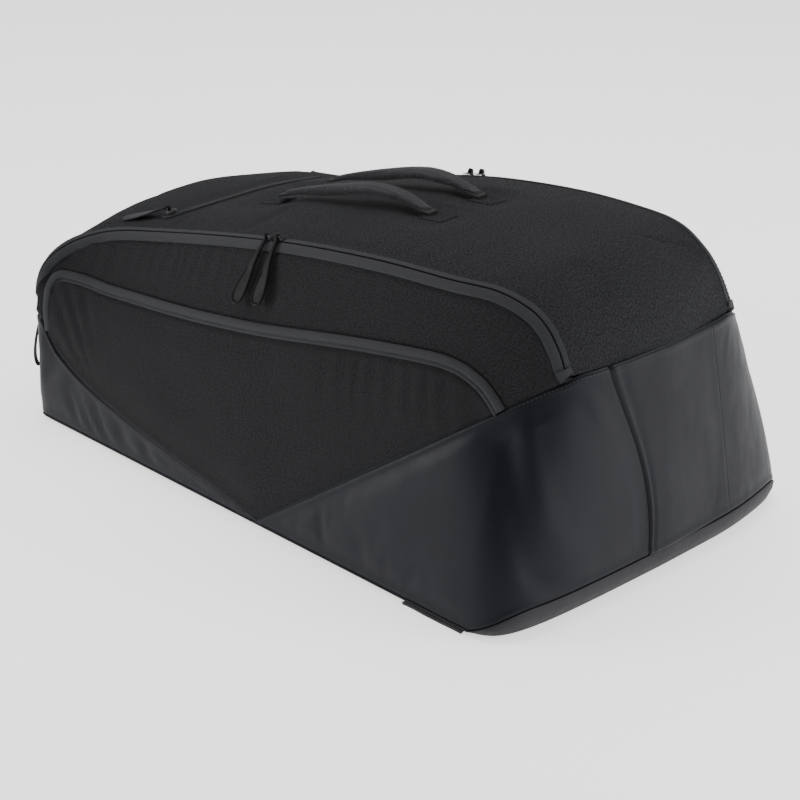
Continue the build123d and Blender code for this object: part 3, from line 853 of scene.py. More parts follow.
def calm_relief(points, column, share, from_low, from_high):
    """The rear corner is pulled smooth and only sags a little between its seams."""
    x, y, z = points[..., 0], points[..., 1], points[..., 2]
    inside = np.minimum(from_low, from_high)
    to_seam = column[:, -1:] - column
    sag = 0.6 * large_sag(x, y, z)
    return (sag * window(inside, 0, 40) * window(to_seam, 0, 0.7)
            + seam_dip(from_low, 1.2) + seam_dip(from_high))


def bowed(column, share, bow):
    """Moves the last columns of a patch so that its far edge bows like the end seam."""
    tall = (share - share[:1]) / np.maximum(share[-1:] - share[:1], 1e-6)
    near_end = np.linspace(0, 1, column.shape[1]) ** 8
    return column + bow * 4 * tall * (1 - tall) * near_end


def right_corner(side):
    """Coated fabric from the slanted seam round the racket-head corner to the end seam."""
    top, foot, bow, relief = FAINT_SEAM, FAINT_SEAM, 0, calm_relief
    if side == "front":
        top, foot, bow, relief = GROOVE_TOP, GROOVE_FOOT, GROOVE_BOW, smooth_relief
    high = np.concatenate([RACKET_SEAM, along_slit(SLIT_END, top)])
    columns = np.concatenate([np.linspace(RACKET_SEAM[0, 0], CORNER_FOOT, len(RACKET_SEAM)),
                              np.linspace(CORNER_FOOT, foot, STEPS)])
    low = np.stack([columns, rim_share(columns)], -1)
    name = f"{side}_racket_head_corner"
    return mirrored(side_cloth(name, low, high, relief, COATED, bow, CORNER_CALM), side)


def left_corner(side):
    """Coated fabric from the middle of the narrow end round to the slanted seam."""
    high = np.concatenate([along_slit(0, SLIT_START), NARROW_SEAM])
    columns = np.concatenate([np.linspace(0, SLIT_START, STEPS),
                              np.linspace(SLIT_START, NARROW_SEAM[-1, 0], len(NARROW_SEAM))])
    low = np.stack([columns, np.zeros_like(columns)], -1)

    def relief(points, column, share, from_low, from_high):
        x, y, z = points[..., 0], points[..., 1], points[..., 2]
        inside = np.minimum(from_low, from_high)
        slant = 1.3 * wrinkled(x + 0.9 * z, 36, 45) * window(x, -350, -290) * (1 - window(x, -200, -110))
        end = 1.2 * np.sin(y / 37 + 0.5 * np.sin(z / 30)) * (1 - window(column, 2.2, 3.4))
        return ((slant + end) * window(inside, 0, 24) + large_sag(x, y, z) * window(inside, 0, 30)
                + seam_dip(from_low, 1.0) + seam_dip(from_high))

    return mirrored(side_cloth(f"{side}_narrow_corner", low, high, relief, COATED), side)


for side in ("front", "rear"):
    bend(upper_panel(side), [f"{side}_side_panel"])
    bend(pocket_panel(side), ["front_pocket_panel"] if side == "front" else [])
    bend_end(dress(right_corner(side), [f"right_{side}_corner"]), BEND_RIGHT)
    bend_end(dress(left_corner(side), ["left_end_wall"]), BEND_LEFT)


# ---- the top ----
def in_box(name, shares):
    """Points given as shares of a CAD node's box, in design millimetres."""
    low, high = (from_frame(corner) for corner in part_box(name))
    return low + (high - low) * np.array(shares, float)


# The handle's middle line, from the narrow end to the racket-head end, as shares of its box.
HANDLE_SHAPE = [(0.01, 0.5, 0.04), (0.15, 0.5, 0.23), (0.345, 0.5, 0.46), (0.53, 0.5, 0.68),
                (0.67, 0.5, 0.79), (0.8, 0.5, 0.78), (0.91, 0.5, 0.71), (0.99, 0.5, 0.68)]
HANDLE_LINE = in_box("front_handle", HANDLE_SHAPE)
PATCH_SHIFT = 7       # the anchor patches reach this much further out than the handle's ends
TOP_ZIP_HIGH = in_box("top_pocket_zip", (1, 1, 1))
TOP_ZIP_REACH = TOP_ZIP_HIGH[1]
TOP_ZIP_BOW = 20      # how much the top pocket's zip bows towards the racket-head end


def handle_row(side):
    """Y of one side's handle."""
    return HANDLE_LINE[0, 1] if side == "front" else -HANDLE_LINE[0, 1]


def patch_places():
    """X of a handle's two anchor patches, each with the direction away from the handle."""
    return (HANDLE_LINE[0, 0] - PATCH_SHIFT, -1), (HANDLE_LINE[-1, 0] + PATCH_SHIFT, 1)


def top_zip_x(y):
    return TOP_ZIP_HIGH[0] - 5 - TOP_ZIP_BOW * (y / TOP_ZIP_REACH) ** 2


def sewn_on_top(x, y):
    """1 under the handle patches and the top pocket's zip, falling to 0 away from them."""
    held = 1 - window(np.abs(x - top_zip_x(y)), 12, 35)
    held = held * (1 - window(np.abs(y), TOP_ZIP_REACH, TOP_ZIP_REACH + 25))
    for end, _ in patch_places():
        for side in ("front", "rear"):
            held = np.maximum(held, 1 - window(np.hypot(x - end, y - handle_row(side)), 24, 55))
    return held


def top_gusset():
    column, across = np.meshgrid(np.linspace(SLIT_START, TOP_END, 230), close_to_edges(96) * 2 - 1)
    points = top_point(column, across)
    normals = normal_of(top_point, column, across)
    x, y = points[..., 0], points[..., 1]
    edge = (1 - np.abs(across)) * 150
    folds = 1.8 * np.sin(x / 33 + y / 60) * bump(x, 255, 95) * bump(y, -30, 120)
    dents = -2.5 * bump(x, 250, 60) * bump(y + 0.3 * x, 60, 60)
    held = sewn_on_top(x, y)
    lift = folds + dents + 1.3 * large_sag(x, y * 1.5, points[..., 2])
    lift = lift * window(edge, 0, 30) * (1 - held) + seam_dip(edge, 0.8)
    return fabric("top_gusset", draped(points + normals * lift[..., None], held), normals, WOVEN)


ride(top_gusset(), "bag", ["top_panel"])


# ---- the racket-head end and the base ----
END_HEIGHT, END_HALF_WIDTH = 230, 60      # rough size of the end gusset, for its seams' relief


def end_gusset():
    """The coated panel between the two end seams, in one piece across the centre."""
    share = close_to_edges(70)[:, None]
    low = rim_share(np.array([20.5]))[0]
    share = low + (1 - low) * share
    across = np.linspace(-1, 1, 61)[None]
    tall = (share - low) / (1 - low)
    groove = GROOVE_FOOT + (GROOVE_TOP - GROOVE_FOOT) * tall + GROOVE_BOW * 4 * tall * (1 - tall)
    column = np.where(across < 0, LAST + across * (LAST - groove), LAST - across * (LAST - FAINT_SEAM))
    column = np.minimum(column, LAST - 0.001)
    share, across, tall = (np.broadcast_to(each, column.shape) for each in (share, across, tall))
    points, normals = wall_point(column, share), normal_of(wall_point, column - 0.03, share)
    rear = np.where(across > 0, -1, 1)
    points[..., 1] *= rear
    normals[..., 1] *= rear * np.abs(across) ** 0.5
    inside = np.minimum(tall, 1 - tall) * END_HEIGHT
    from_groove, from_faint = (1 + across) * END_HALF_WIDTH, (1 - across) * END_HALF_WIDTH
    sag = large_sag(points[..., 2] * 1.3, points[..., 1] * 1.6, points[..., 0])
    lift = (sag * window(inside, 0, 40) * window(from_faint, 0, 25)
            + 2.5 * window(from_groove, 0, 25) - 2.5 * window(from_groove, 60, 110)
            + seam_dip(inside) + seam_dip(from_groove, 2.6, 2.6) + seam_dip(from_faint, 0.2, 1.2))
    return fabric("end_gusset", draped(points + normals * lift[..., None], 0.75), normals, COATED)


ride(end_gusset(), "bag", ["right_end_gusset"])


def base_ring(inset, height, follow_rim):
    """One closed ring of the base, all round the bag: inset from the wall's foot, at one height."""
    # Columns with their number of points: closer together round the corners.
    stretches = ((0, 3.2, 24), (3.2, 6, 24), (6, 15, 60), (15, 19, 40), (19, LAST, 20))
    column = np.concatenate([np.linspace(*stretch)[:-1] for stretch in stretches] + [[LAST]])
    points = wall_point(column, rim_share(column) * follow_rim)
    core = np.stack([np.clip(points[:, 0], -CORE_X, CORE_X), np.clip(points[:, 1], -CORE_Y, CORE_Y)], -1)
    reach = points[:, :2] - core
    distance = np.linalg.norm(reach, axis=1)
    tuck = LIP_TUCK * window(column, *LIP_GROWS)
    points[:, :2] = core + reach * (1 - (inset[0] + inset[1] * tuck) / distance)[:, None]
    rise = points[:, 2] - BASE_EDGE_Z
    points[:, 2] = height + rise * follow_rim
    rear = points[::-1][1:-1] * (1, -1, 1)
    return np.concatenate([points, rear])


def base_sheet():
    """The base fabric: a lip up the racket-head end, a rolled edge, a flat foot and a recess."""
    # Each ring: inset and its share of the tuck, height, and how far it follows the lip.
    steps = [((-0.6, 0), BASE_EDGE_Z + 1.2, 1), ((-1.4, 0), BASE_EDGE_Z + 0.2, 0.97),
             ((-0.6, 0.12), BASE_EDGE_Z, 0.75), ((2.5, 0.4), 2.6, 0.4), ((6.5, 0.72), 1.4, 0.14),
             ((11, 0.95), 0.4, 0), ((14, 1), 0, 0), ((19, 1), 0, 0), ((23, 1), 0, 0), ((25, 1), 0.8, 0),
             ((25.6, 1), 3, 0), ((26.4, 1), 5.4, 0), ((29, 1), RECESS_Z, 0)]
    rings = [base_ring(inset, height, rim) for inset, height, rim in steps]
    first_flat = 6
    for shrink in np.linspace(0.93, 0, 15):
        ring = rings[len(steps) - 1].copy()
        ring[:, 1] *= shrink
        ring[:, 0] *= 1 - (1 - shrink) * 0.12
        ring[:, 2] = RECESS_Z + 0.25 * np.sin(ring[:, 0] / 30) * np.sin(ring[:, 1] / 26)
        rings.append(ring)
    grid = np.array(rings)
    grid = np.concatenate([grid, grid[:, :1]], 1)
    normals = unit(np.cross(np.gradient(grid, axis=1), -np.gradient(grid, axis=0)))
    normals[first_flat:] = (0, 0, -1)
    return fabric("base_sheet", grid[::-1], normals[::-1], BASE, 1.6)


ride(base_sheet(), "bag", ["base_panel"])


# ---- seams and zips ----
def on_wall(line):
    """A line on the side wall with its normals."""
    return wall_line(line), normal_of(wall_point, line[:, 0], line[:, 1])


def slit_line():
    """The main zip's line with the normals of the side, of the top and midway between them."""
    columns = smooth_line(along_slit(ZIP_START, ZIP_END, 30), 6)
    line, out_side = on_wall(columns)
    out_top = normal_of(top_point, np.minimum(columns[:, 0], TOP_END - 0.1), np.full(len(line), -0.999))
    return line, out_side, out_top, unit(out_side + out_top)


def strip_profile(near, far, height, thickness=2.6):
    """Cross-section of a flat tape between two sideways distances, its edges rounded."""
    low, high = min(near, far), max(near, far)
    soft = min(0.9, (high - low) / 4)
    return [(low, height - thickness), (high, height - thickness), (high, height - 0.6),
            (high - soft, height), (low + soft, height), (low, height - 0.6)]


def drawn_in(share):
    """A tape's width along its run: the seam takes it in at the narrow end."""
    return 0.2 + 0.8 * window(share, 0, 0.05)


def stitched(name, line, normals, shift, lift, side, rider, slot="zip_tape", taper=np.ones_like):
    """A row of stitches beside a line. The rider treats it like its strip."""
    across = frames_along(line, normals)[1]
    shifts = shift * taper(np.linspace(0, 1, len(line)))
    row = mirrored(stitch_row(name, line + across * shifts[:, None], normals, lift=lift), side)
    rider(row, slot)


def main_zip(side):
    """Two tapes and two rows of teeth, half on the bag and half on the side that opens."""
    line, out_side, out_top, between = slit_line()

    def on_bag(obj, slot, nodes=()):
        ride(obj, "bag", nodes)

    def on_opening(obj, slot, nodes=()):
        bend(obj, nodes)

    name = f"{side}_main_zip"
    upper = strip_profile(0.7, UPPER_TAPE, 1.3)
    lower = strip_profile(-0.7, -LOWER_TAPE, 1.5)
    for word, normals, profile, rider in (("upper", out_top, upper, on_bag),
                                          ("lower", out_side, lower, on_opening)):
        tape = sweep(f"{name}_{word}_tape", line, normals, profile, TAPE, taper=drawn_in)
        rider(mirrored(tape, side), "zip_tape", [f"{side}_zip_{word}_tape"])
    for word, normals, shift, lift, rider in (("upper", out_top, UPPER_TAPE - 1.6, 1.25, on_bag),
                                              ("lower", out_side, -4.6, 1.45, on_opening),
                                              ("edge", out_side, 1.8 - LOWER_TAPE, 1.45, on_opening)):
        stitched(f"{name}_{word}_stitch", line, normals, shift, lift, side, rider, taper=drawn_in)
    across = frames_along(line, between)[1]
    for word, shift, rider in (("upper", 0.45, on_bag), ("lower", -0.45, on_opening)):
        coil = stitch_row(f"{name}_{word}_coil", line + across * shift, between, 2.1, 1.5, 0.75, -0.2, TEETH)
        rider(mirrored(coil, side), "zip_tape")


def pocket_zip():
    """The pocket's zip under a folded flap, along the top edge of the pocket's face."""
    line, normals = on_wall(POCKET_ZIP)

    def on_opening(obj, slot, nodes=()):
        bend(obj, nodes)

    flap = [(-8.4, -1.5), (0.6, -1.5), (0.8, 0.8), (0.2, 2.4), (-1.6, 3.6), (-4.6, 4.2), (-7, 3.9),
            (-8.4, 3.1)]
    lower = [(-POCKET_TAPE, -1.5), (-7.6, -1.5), (-7.6, 1.3), (-8.4, 1.9), (1 - POCKET_TAPE, 2.0),
             (-POCKET_TAPE, 1.3)]
    on_opening(sweep("pocket_zip_upper_tape", line, normals, flap, TAPE), "zip_tape", ["front_pocket_zip"])
    on_opening(sweep("pocket_zip_lower_tape", line, normals, lower, TAPE), "zip_tape")
    stitched("pocket_zip_upper_stitch", line, normals, -2.2, 3.7, "front", on_opening)
    stitched("pocket_zip_lower_stitch", line, normals, 2 - POCKET_TAPE, 1.95, "front", on_opening)
    across = frames_along(line, normals)[1]
    coil = stitch_row("pocket_zip_coil", line - across * 7.9, normals, 2.1, 1.5, 0.8, 1.2, TEETH)
    on_opening(coil, "zip_tape")


def panel_seams(side):
    """Rows of topstitching beside the slanted seams and round the ends."""
    def both(obj, slot):
        bend(obj)

    def right_end(obj, slot):
        bend_end(dress(obj), BEND_RIGHT)

    for word, seam in (("narrow", NARROW_SEAM), ("racket_head", RACKET_SEAM)):
        line, normals = on_wall(seam)
        stitched(f"{side}_{word}_seam_stitch", line, normals, -SEAM_STITCH, 0.75, side, both, "smooth_coated")
    line, normals = on_wall(along_slit(SLIT_END, FAINT_SEAM - 0.06))
    stitched(f"{side}_end_top_stitch", line, normals, -SEAM_STITCH, 0.6, side, right_end, "smooth_coated")


for side in ("front", "rear"):
    main_zip(side)
    panel_seams(side)
pocket_zip()


# ---- sliders and pulls, each in the frame of its CAD node ----
JOINTS = {joint["name"]: joint for joint in frame["joints"]}


def node_points(name):
    return np.array([from_frame(v.co) for v in frame["nodes"][name].data.vertices])


def flat_normal(name):
    """Unit normal of the largest flat face of a CAD node."""
    areas = {}
    for face in frame["nodes"][name].data.polygons:
        key = tuple(np.round(face.normal, 2))
        areas[key] = areas.get(key, 0) + face.area
    return unit(np.array(max(areas, key=areas.get), float))


def pull_axes(name):
    """Origin at the bridge, direction along the pull, sideways and outward."""
    joint = JOINTS[f"{name}_lifts"]
    origin = from_frame(joint["pos_m"])
    points = node_points(name)
    reach = points - origin
    far = points[np.linalg.norm(reach, axis=1) > 0.6 * np.linalg.norm(reach, axis=1).max()]
    along = unit(far.mean(0) - origin)
    out = unit(np.cross(np.array(joint["axis"], float), along))
    length = (reach @ along).max()
    return origin, along, np.cross(out, along), out, length


def in_axes(axes, points):
    """Points given as (along, sideways, outward) from an origin."""
    origin, along, across, out = axes[:4]
    points = np.asarray(points, float)
    return origin + points[..., :1] * along + points[..., 1:2] * across + points[..., 2:3] * out


def oval(half_width, half_height, count):
    """An oval cross-section of count points."""
    turn = np.linspace(0, 2 * np.pi, count + 1)[:-1]
    return np.stack([half_width * np.cos(turn), half_height * np.sin(turn)], -1)


def grid_of(*parts):
    """A grid of points from their coordinates along, sideways and outward."""
    return np.stack(np.broadcast_arrays(*parts), -1)


def closed_grid(name, upper, lower, outer):
    """A solid between two grids that meet along their edges."""
    rows, columns = upper.shape[:2]
    count = rows * columns
    faces = np.concatenate([grid_faces(rows, columns), grid_faces(rows, columns, count, True)])
    points = np.concatenate([upper.reshape(-1, 3), lower.reshape(-1, 3)])
    uv = np.concatenate([cloth_uv(upper).reshape(-1, 2)] * 2)
    return welded(build(name, points, faces, [outer], uv=uv, sharp=60))


def welded(obj):
    """Joins coincident points and turns every face outward."""
    shape = bmesh.new()
    shape.from_mesh(obj.data)
    bmesh.ops.remove_doubles(shape, verts=shape.verts, dist=1e-5)
    bmesh.ops.recalc_face_normals(shape, faces=shape.faces)
    shape.to_mesh(obj.data)
    shape.free()
    return obj


def eye(name, axes, radius=3.0, hole=1.75, width=4.6):
    """The ring that turns on the slider's bridge."""
    turn = np.linspace(0, 2 * np.pi, 33)[:-1]
    section = [(hole, -width / 2), (hole, width / 2), (radius - 0.5, width / 2), (radius, width / 2 - 0.5),
               (radius, 0.5 - width / 2), (radius - 0.5, -width / 2)]
    rings = np.array([[(r * math.cos(t), w, r * math.sin(t)) for r, w in section] for t in turn])
    count = len(section)
    faces = [[i * count + j, i * count + (j + 1) % count, ((i + 1) % 32) * count + (j + 1) % count,
              ((i + 1) % 32) * count + j] for i in range(32) for j in range(count)]
    return welded(build(name, in_axes(axes, rings).reshape(-1, 3), faces, [RUBBER]))


def teardrop_half_width(share):
    """Half width of the moulded pull from its eye (0) to its tip (1)."""
    places = [0, 0.1, 0.22, 0.38, 0.55, 0.7, 0.8, 0.9, 0.965, 1]
    half_widths = [2.5, 2.5, 3.0, 4.8, 7.6, 9.8, 10.6, 9.8, 6.8, 0.05]
    return np.interp(share, places, half_widths)


def moulded_pull(name):
    """A soft rubber pull: a narrow neck, a teardrop grip with a raised rim and a dished face."""
    axes = pull_axes(name)
    length = axes[4]
    share = (1 - np.cos(np.linspace(0, np.pi, 72))) / 2
    share = 0.035 + 0.965 * share
    smooth = np.convolve(np.pad(teardrop_half_width(share), 2, mode="edge"), np.ones(5) / 5, "valid")
    smooth[-1] = 0.05
    across = np.sin(np.linspace(-np.pi / 2, np.pi / 2, 25))
    t, q = share[:, None], across[None]
    wide = smooth[:, None] * q
    edge = np.sqrt(np.clip(1 - np.abs(q) ** 5, 0, 1)) * np.sqrt(np.clip((1 - t) * 22, 0, 1))
    from_rim = np.minimum((1 - np.abs(q)) * smooth[:, None], (1 - t) * length * 0.8)
    rim = 0.55 * bump(from_rim, 1.5, 0.9) * window(t, 0.16, 0.3)
    dish = -1.15 * window(from_rim, 2.0, 3.6) * window(t, 0.42, 0.56)
    neck_rib = 0.35 * bump(np.abs(q), 0, 0.25) * (1 - window(t, 0.3, 0.46)) * window(t, 0.08, 0.14)
    sweepback = -2.2 * (t - 0.45) ** 2 + 0.1
    top = 1.45 * edge + rim * edge + dish + neck_rib + sweepback
    bottom = -1.45 * edge + sweepback
    grids = [in_axes(axes, grid_of(t * length, wide, height)) for height in (top, bottom)]
    ride(closed_grid(f"{name}_grip", *grids, RUBBER), name, [name])
    ride(eye(f"{name}_eye", axes), name)


def leaf(name):
    """The fabric tab on the top pocket's slider: folded webbing, sewn flat, on a rubber eye."""
    axes = pull_axes(name)
    length = axes[4]
    share = np.linspace(0.07, 1, 60)[:, None]
    across = np.sin(np.linspace(-np.pi / 2, np.pi / 2, 21))[None]
    half = 2.2 + 6.6 * np.sin(np.pi * np.clip((share - 0.12) / 0.92, 0, 1)) ** 0.8 * window(share, 0.1, 0.4)
    half = half * np.sqrt(np.clip((1 - share) * 14, 0, 1))
    curl = 2.2 * (share - 0.5) ** 2 + 0.8 * across * np.sin(share * 5)
    thick = 1.25 * np.sqrt(np.clip(1 - np.abs(across) ** 6, 0, 1)) * np.clip((1 - share) * 40, 0, 1)
    crease = -0.5 * bump(np.abs(across), 0.72, 0.1) * window(share, 0.2, 0.3)
    grids = []
    for sign in (1, -1):
        height = curl + sign * thick + max(sign, 0) * crease
        grids.append(in_axes(axes, grid_of(share * length, half * across, height)))
    ride(closed_grid(f"{name}_tab", *grids, PULL_FABRIC), name, [name])
    ride(eye(f"{name}_eye", axes), name)


def loop_tab(name):
    """The pocket's thin pull: a narrow band bent into a loop that stands off the bag."""
    axes = pull_axes(name)
    length = axes[4]
    turn = np.linspace(0, 2 * np.pi, 60)
    along = 0.07 * length + (length * 0.93) * (1 - np.cos(turn)) / 2
    spread = np.sin(turn) * (3.2 + 4.4 * (1 - np.cos(turn)) / 2)
    path = in_axes(axes, np.stack([along, np.zeros_like(turn), spread], -1))
    band = np.broadcast_to(axes[2], path.shape)
    out = unit(np.cross(np.gradient(path, axis=0), band))
    profile = [(-4, -0.45), (4, -0.45), (4, 0.45), (-4, 0.45)]
    ride(sweep(f"{name}_loop", path, out, profile, WEBBING, 1.5), name, [name])
    ride(eye(f"{name}_eye", axes), name)


def slider_body(name, pull):
    """A die-cast slider: waisted top plate with rolled sides, a lower plate and an arched bridge."""
    joint = JOINTS[f"{name}_runs"]
    pivot = from_frame(JOINTS[f"{pull}_lifts"]["pos_m"])
    bar = np.array(JOINTS[f"{pull}_lifts"]["axis"], float)
    points = node_points(name)
    out = flat_normal(name)
    if (pivot - points.mean(0)) @ out < 0:
        out = -out
    along = np.array(joint["axis"], float)
    along = unit(along - out * (along @ out))
    across = np.cross(out, along)
    plate = points[(points - pivot) @ out < -2.5]
    middle = sum(((plate @ d).max() + (plate @ d).min()) / 2 * d for d in (along, across))
    origin = middle + out * (plate @ out).min()
    axes = (origin, along, across, out)
    share = np.linspace(-1, 1, 33)[:, None]
    side = np.sin(np.linspace(-np.pi / 2, np.pi / 2, 13))[None]
    half = (4.3 - 0.9 * bump(share, -0.15, 0.35)) * np.clip(1 - np.abs(share) ** 5, 0, 1) ** 0.4
    dome = 0.7 * np.sqrt(np.clip(1 - side**4, 0, 1)) * np.sqrt(np.clip(1 - share**6, 0, 1))
    ridge = 0.35 * bump(np.abs(side), 0.8, 0.12)
    for word, low, high, size, nodes in (("top", 1.9, 2.6, 1.0, [name]), ("foot", 0.0, 0.5, 0.96, [])):
        grids = [in_axes(axes, grid_of(share * 7 * size, half * side * size, height))
                 for height in (high + dome * 0.6 + ridge, low - dome * 0.2)]
        ride(closed_grid(f"{name}_{word}", *grids, METAL), name, nodes)
    arch = np.linspace(-1, 1, 25)
    reach = pivot + bar * (arch * 4.1)[:, None] - out * (3.6 * np.abs(arch)[:, None] ** 5)
    around = unit(np.cross(np.gradient(reach, axis=0), np.cross(out, bar)))
    bridge = sweep(f"{name}_bridge", reach, around, oval(1.15, 1.15, 10), METAL, 0.7)
    ride(welded(bridge), name)


for side in ("front", "rear"):
    for end in ("left", "right"):
        slider_body(f"{side}_{end}_slider", f"{side}_{end}_pull")
        moulded_pull(f"{side}_{end}_pull")
slider_body("front_pocket_slider", "front_pocket_pull")
loop_tab("front_pocket_pull")
slider_body("top_pocket_slider", "top_pocket_pull")
leaf("top_pocket_pull")


# ---- carry handles ----
PILLOW_CLOTH = 12     # half size that the weave of a pillow section is laid out for


def pillow_section():
    """A rounded flat cross-section of half size one, counter-clockwise."""
    turn = np.linspace(0, 2 * np.pi, 37)[:-1]
    wide = np.sign(np.cos(turn)) * np.abs(np.cos(turn)) ** 0.55
    high = np.sign(np.sin(turn)) * np.abs(np.sin(turn)) ** 0.75
    return np.stack([wide, high], -1)


def shaped_sweep(name, line, normals, halves, thicknesses, outer, spacing=2.5):
    """A sweep whose pillow section changes along the line."""
    line, normals = spaced(line, normals, spacing)
    side = frames_along(line, normals)[1]
    at = np.linspace(0, len(halves) - 1, len(line))
    sizes = hermite(np.stack([halves, thicknesses], -1).astype(float), at)[:, None]
    section = pillow_section()
    rings = (line[:, None] + side[:, None] * section[:, :1] * sizes[..., :1]
             + normals[:, None] * section[:, 1:] * sizes[..., 1:] / 2)
    return welded(tube(name, rings, line, section * PILLOW_CLOTH, outer))


GRIP_HALF_WIDTHS = (5, 6.5, 8.5, 11, 13.5, 15, 14.5, 11, 6)
GRIP_THICKNESSES = (5.5, 8, 10, 10.5, 9.5, 8.5, 7, 5.5, 4.4)
BAND_HALF_WIDTHS = (6, 6, 7, 10, 12, 10, 7)
BAND_THICKNESSES = (3.4,) * 7


def carry_handle(side):
    """Webbing that runs the whole way, with a padded fabric grip round its middle."""
    line = smooth_line(HANDLE_LINE)
    line[:, 1] = handle_row(side)
    normals = unit(np.cross(np.gradient(line, axis=0), (0, 1, 0)))
    band = shaped_sweep(f"{side}_handle_webbing", line, normals, BAND_HALF_WIDTHS, BAND_THICKNESSES, WEBBING)
    ride(band, f"{side}_handle", [f"{side}_handle"])
    covered = slice(5, -4)
    grip = shaped_sweep(f"{side}_handle_padding", line[covered], normals[covered], GRIP_HALF_WIDTHS,
                        GRIP_THICKNESSES, GRIP)
    inflated(grip, 3.0, 1.6)
    ride(grip, f"{side}_handle", [f"{side}_handle_grip"])
    across = frames_along(line, normals)[1]
    sewn = slice(20, 90)
    for word, shift in (("outer", -7.5), ("inner", 7.5)):
        edge = line + across * shift + normals * 4.1
        row = stitch_row(f"{side}_handle_{word}_stitch", edge[sewn], normals[sewn], 4.2, 2.9, 0.42)
        ride(row, f"{side}_handle")


def inflated(obj, voxel, cap):
    """Blows a padded piece up a little with a cloth simulation, so that its cover looks filled.
    It is meshed anew in steps of voxel, and no point moves more than cap millimetres."""
    remesh = obj.modifiers.new("remesh", "REMESH")
    remesh.mode = "VOXEL"
    remesh.voxel_size = voxel / 1000
    bake(obj)
    rest = mesh_points(obj)
    moved = simulate(obj, 4)
    size = np.linalg.norm(moved, axis=1, keepdims=True)
    move_points(obj, rest + moved * np.minimum(1, cap / 1000 / np.maximum(size, 1e-9)))
    finer = obj.modifiers.new("finer", "SUBSURF")
    finer.levels = finer.render_levels = 1
    bake(obj)
    obj.data.polygons.foreach_set("use_smooth", np.ones(len(obj.data.polygons), bool))
    return obj


def top_height(x, y):
    """Height of the top at a plan position, found by stepping along its columns."""
    columns = np.linspace(5.5, TOP_END - 0.1, 600)
    half = -hermite(COLUMNS, columns)[:, 3]
    points = top_point(columns, np.clip(y / half, -1, 1))
    return np.interp(x, points[:, 0], points[:, 2])


PATCH_X, PATCH_Y = 17, 13.5       # half size of an anchor patch
STITCH_X, STITCH_Y = 12, 9.5      # and of the stitched box on it


def anchor_patch(name, x, y, toward):
    """A square of fabric over the handle's end, box-stitched to the top."""
    def swell(a, b):
        """The handle's end fills the patch out where it goes under."""
        return 1.6 * bump(a, -toward * 14, 8) * bump(b, 0, 11)

    u, v = np.meshgrid(np.linspace(-PATCH_X, PATCH_X, 18), np.linspace(-PATCH_Y, PATCH_Y, 15))
    z = np.array([[top_height(x + a, y + b) for a, b in zip(ra, rb)] for ra, rb in zip(u, v)])
    rim = np.minimum(PATCH_X - np.abs(u), PATCH_Y - np.abs(v))
    points = np.stack([x + u, y + v, z + 0.9 + swell(u, v) + 0.35 * window(rim, 0, 2)], -1)
    normals = np.broadcast_to(np.array([-0.17 * (x < 40), 0, 1.0]), points.shape)
    ride(fabric(name, points, normals, WOVEN, 2.4, WOVEN), "bag", ["handle_anchor_patches"])
    # The box's four sides, then its two diagonals.
    box = [(-1, -1), (1, -1), (1, 1), (-1, 1), (-1, -1), (1, 1), (1, -1), (-1, 1)]
    corners = np.array(box) * (STITCH_X, STITCH_Y)
    path = []
    for start, end in zip(corners, corners[1:]):
        for share in np.linspace(0, 1, 7)[:-1]:
            a, b = start + (end - start) * share
            path.append((x + a, y + b, top_height(x + a, y + b) + 1.35 + swell(a, b)))
    up = np.broadcast_to(np.array([0, 0, 1.0]), (len(path), 3))
    ride(stitch_row(f"{name}_stitch", np.array(path), up, 3.4, 2.5, 0.38, 0.25), "bag")


for side in ("front", "rear"):
    carry_handle(side)
    for word, (place, toward) in zip(("narrow", "wide"), patch_places()):
        anchor_patch(f"{side}_{word}_end_patch", place, handle_row(side), toward)


# ---- the top pocket's zip, across the top near the narrow end ----
def top_pocket_zip():
    y = np.linspace(-TOP_ZIP_REACH, TOP_ZIP_REACH, 70)
    x = top_zip_x(y)
    z = np.array([top_height(a, b) for a, b in zip(x, y)])
    line = np.stack([x, y, z + 0.9], -1)
    normals = unit(np.cross((1, 0, 0.2), np.gradient(line, axis=0)))
    across = frames_along(line, normals)[1]
    for word, near, far in (("narrow", 0.6, 6), ("wide", -0.6, -6)):
        tape = sweep(f"top_pocket_zip_{word}_tape", line, normals, strip_profile(near, far, 0.9, 2), TOP_TAPE)
        ride(tape, "bag", ["top_pocket_zip"])
        row = stitch_row(f"top_pocket_zip_{word}_stitch", line + across * (far * 0.75), normals, lift=0.85)
        ride(row, "bag")
    coil = stitch_row("top_pocket_zip_coil", line, normals, 2.1, 1.5, 0.9, 0.1, TEETH)
    ride(coil, "bag")


top_pocket_zip()

# ---- shoulder straps under the base ----
# A pad's middle line, from the narrow end, as shares of the rear pad's box.
PAD_SHAPE = [(0.01, 0.3, 0.5), (0.45, 0.38, 0.5), (0.79, 0.53, 0.5), (0.97, 0.7, 0.5)]


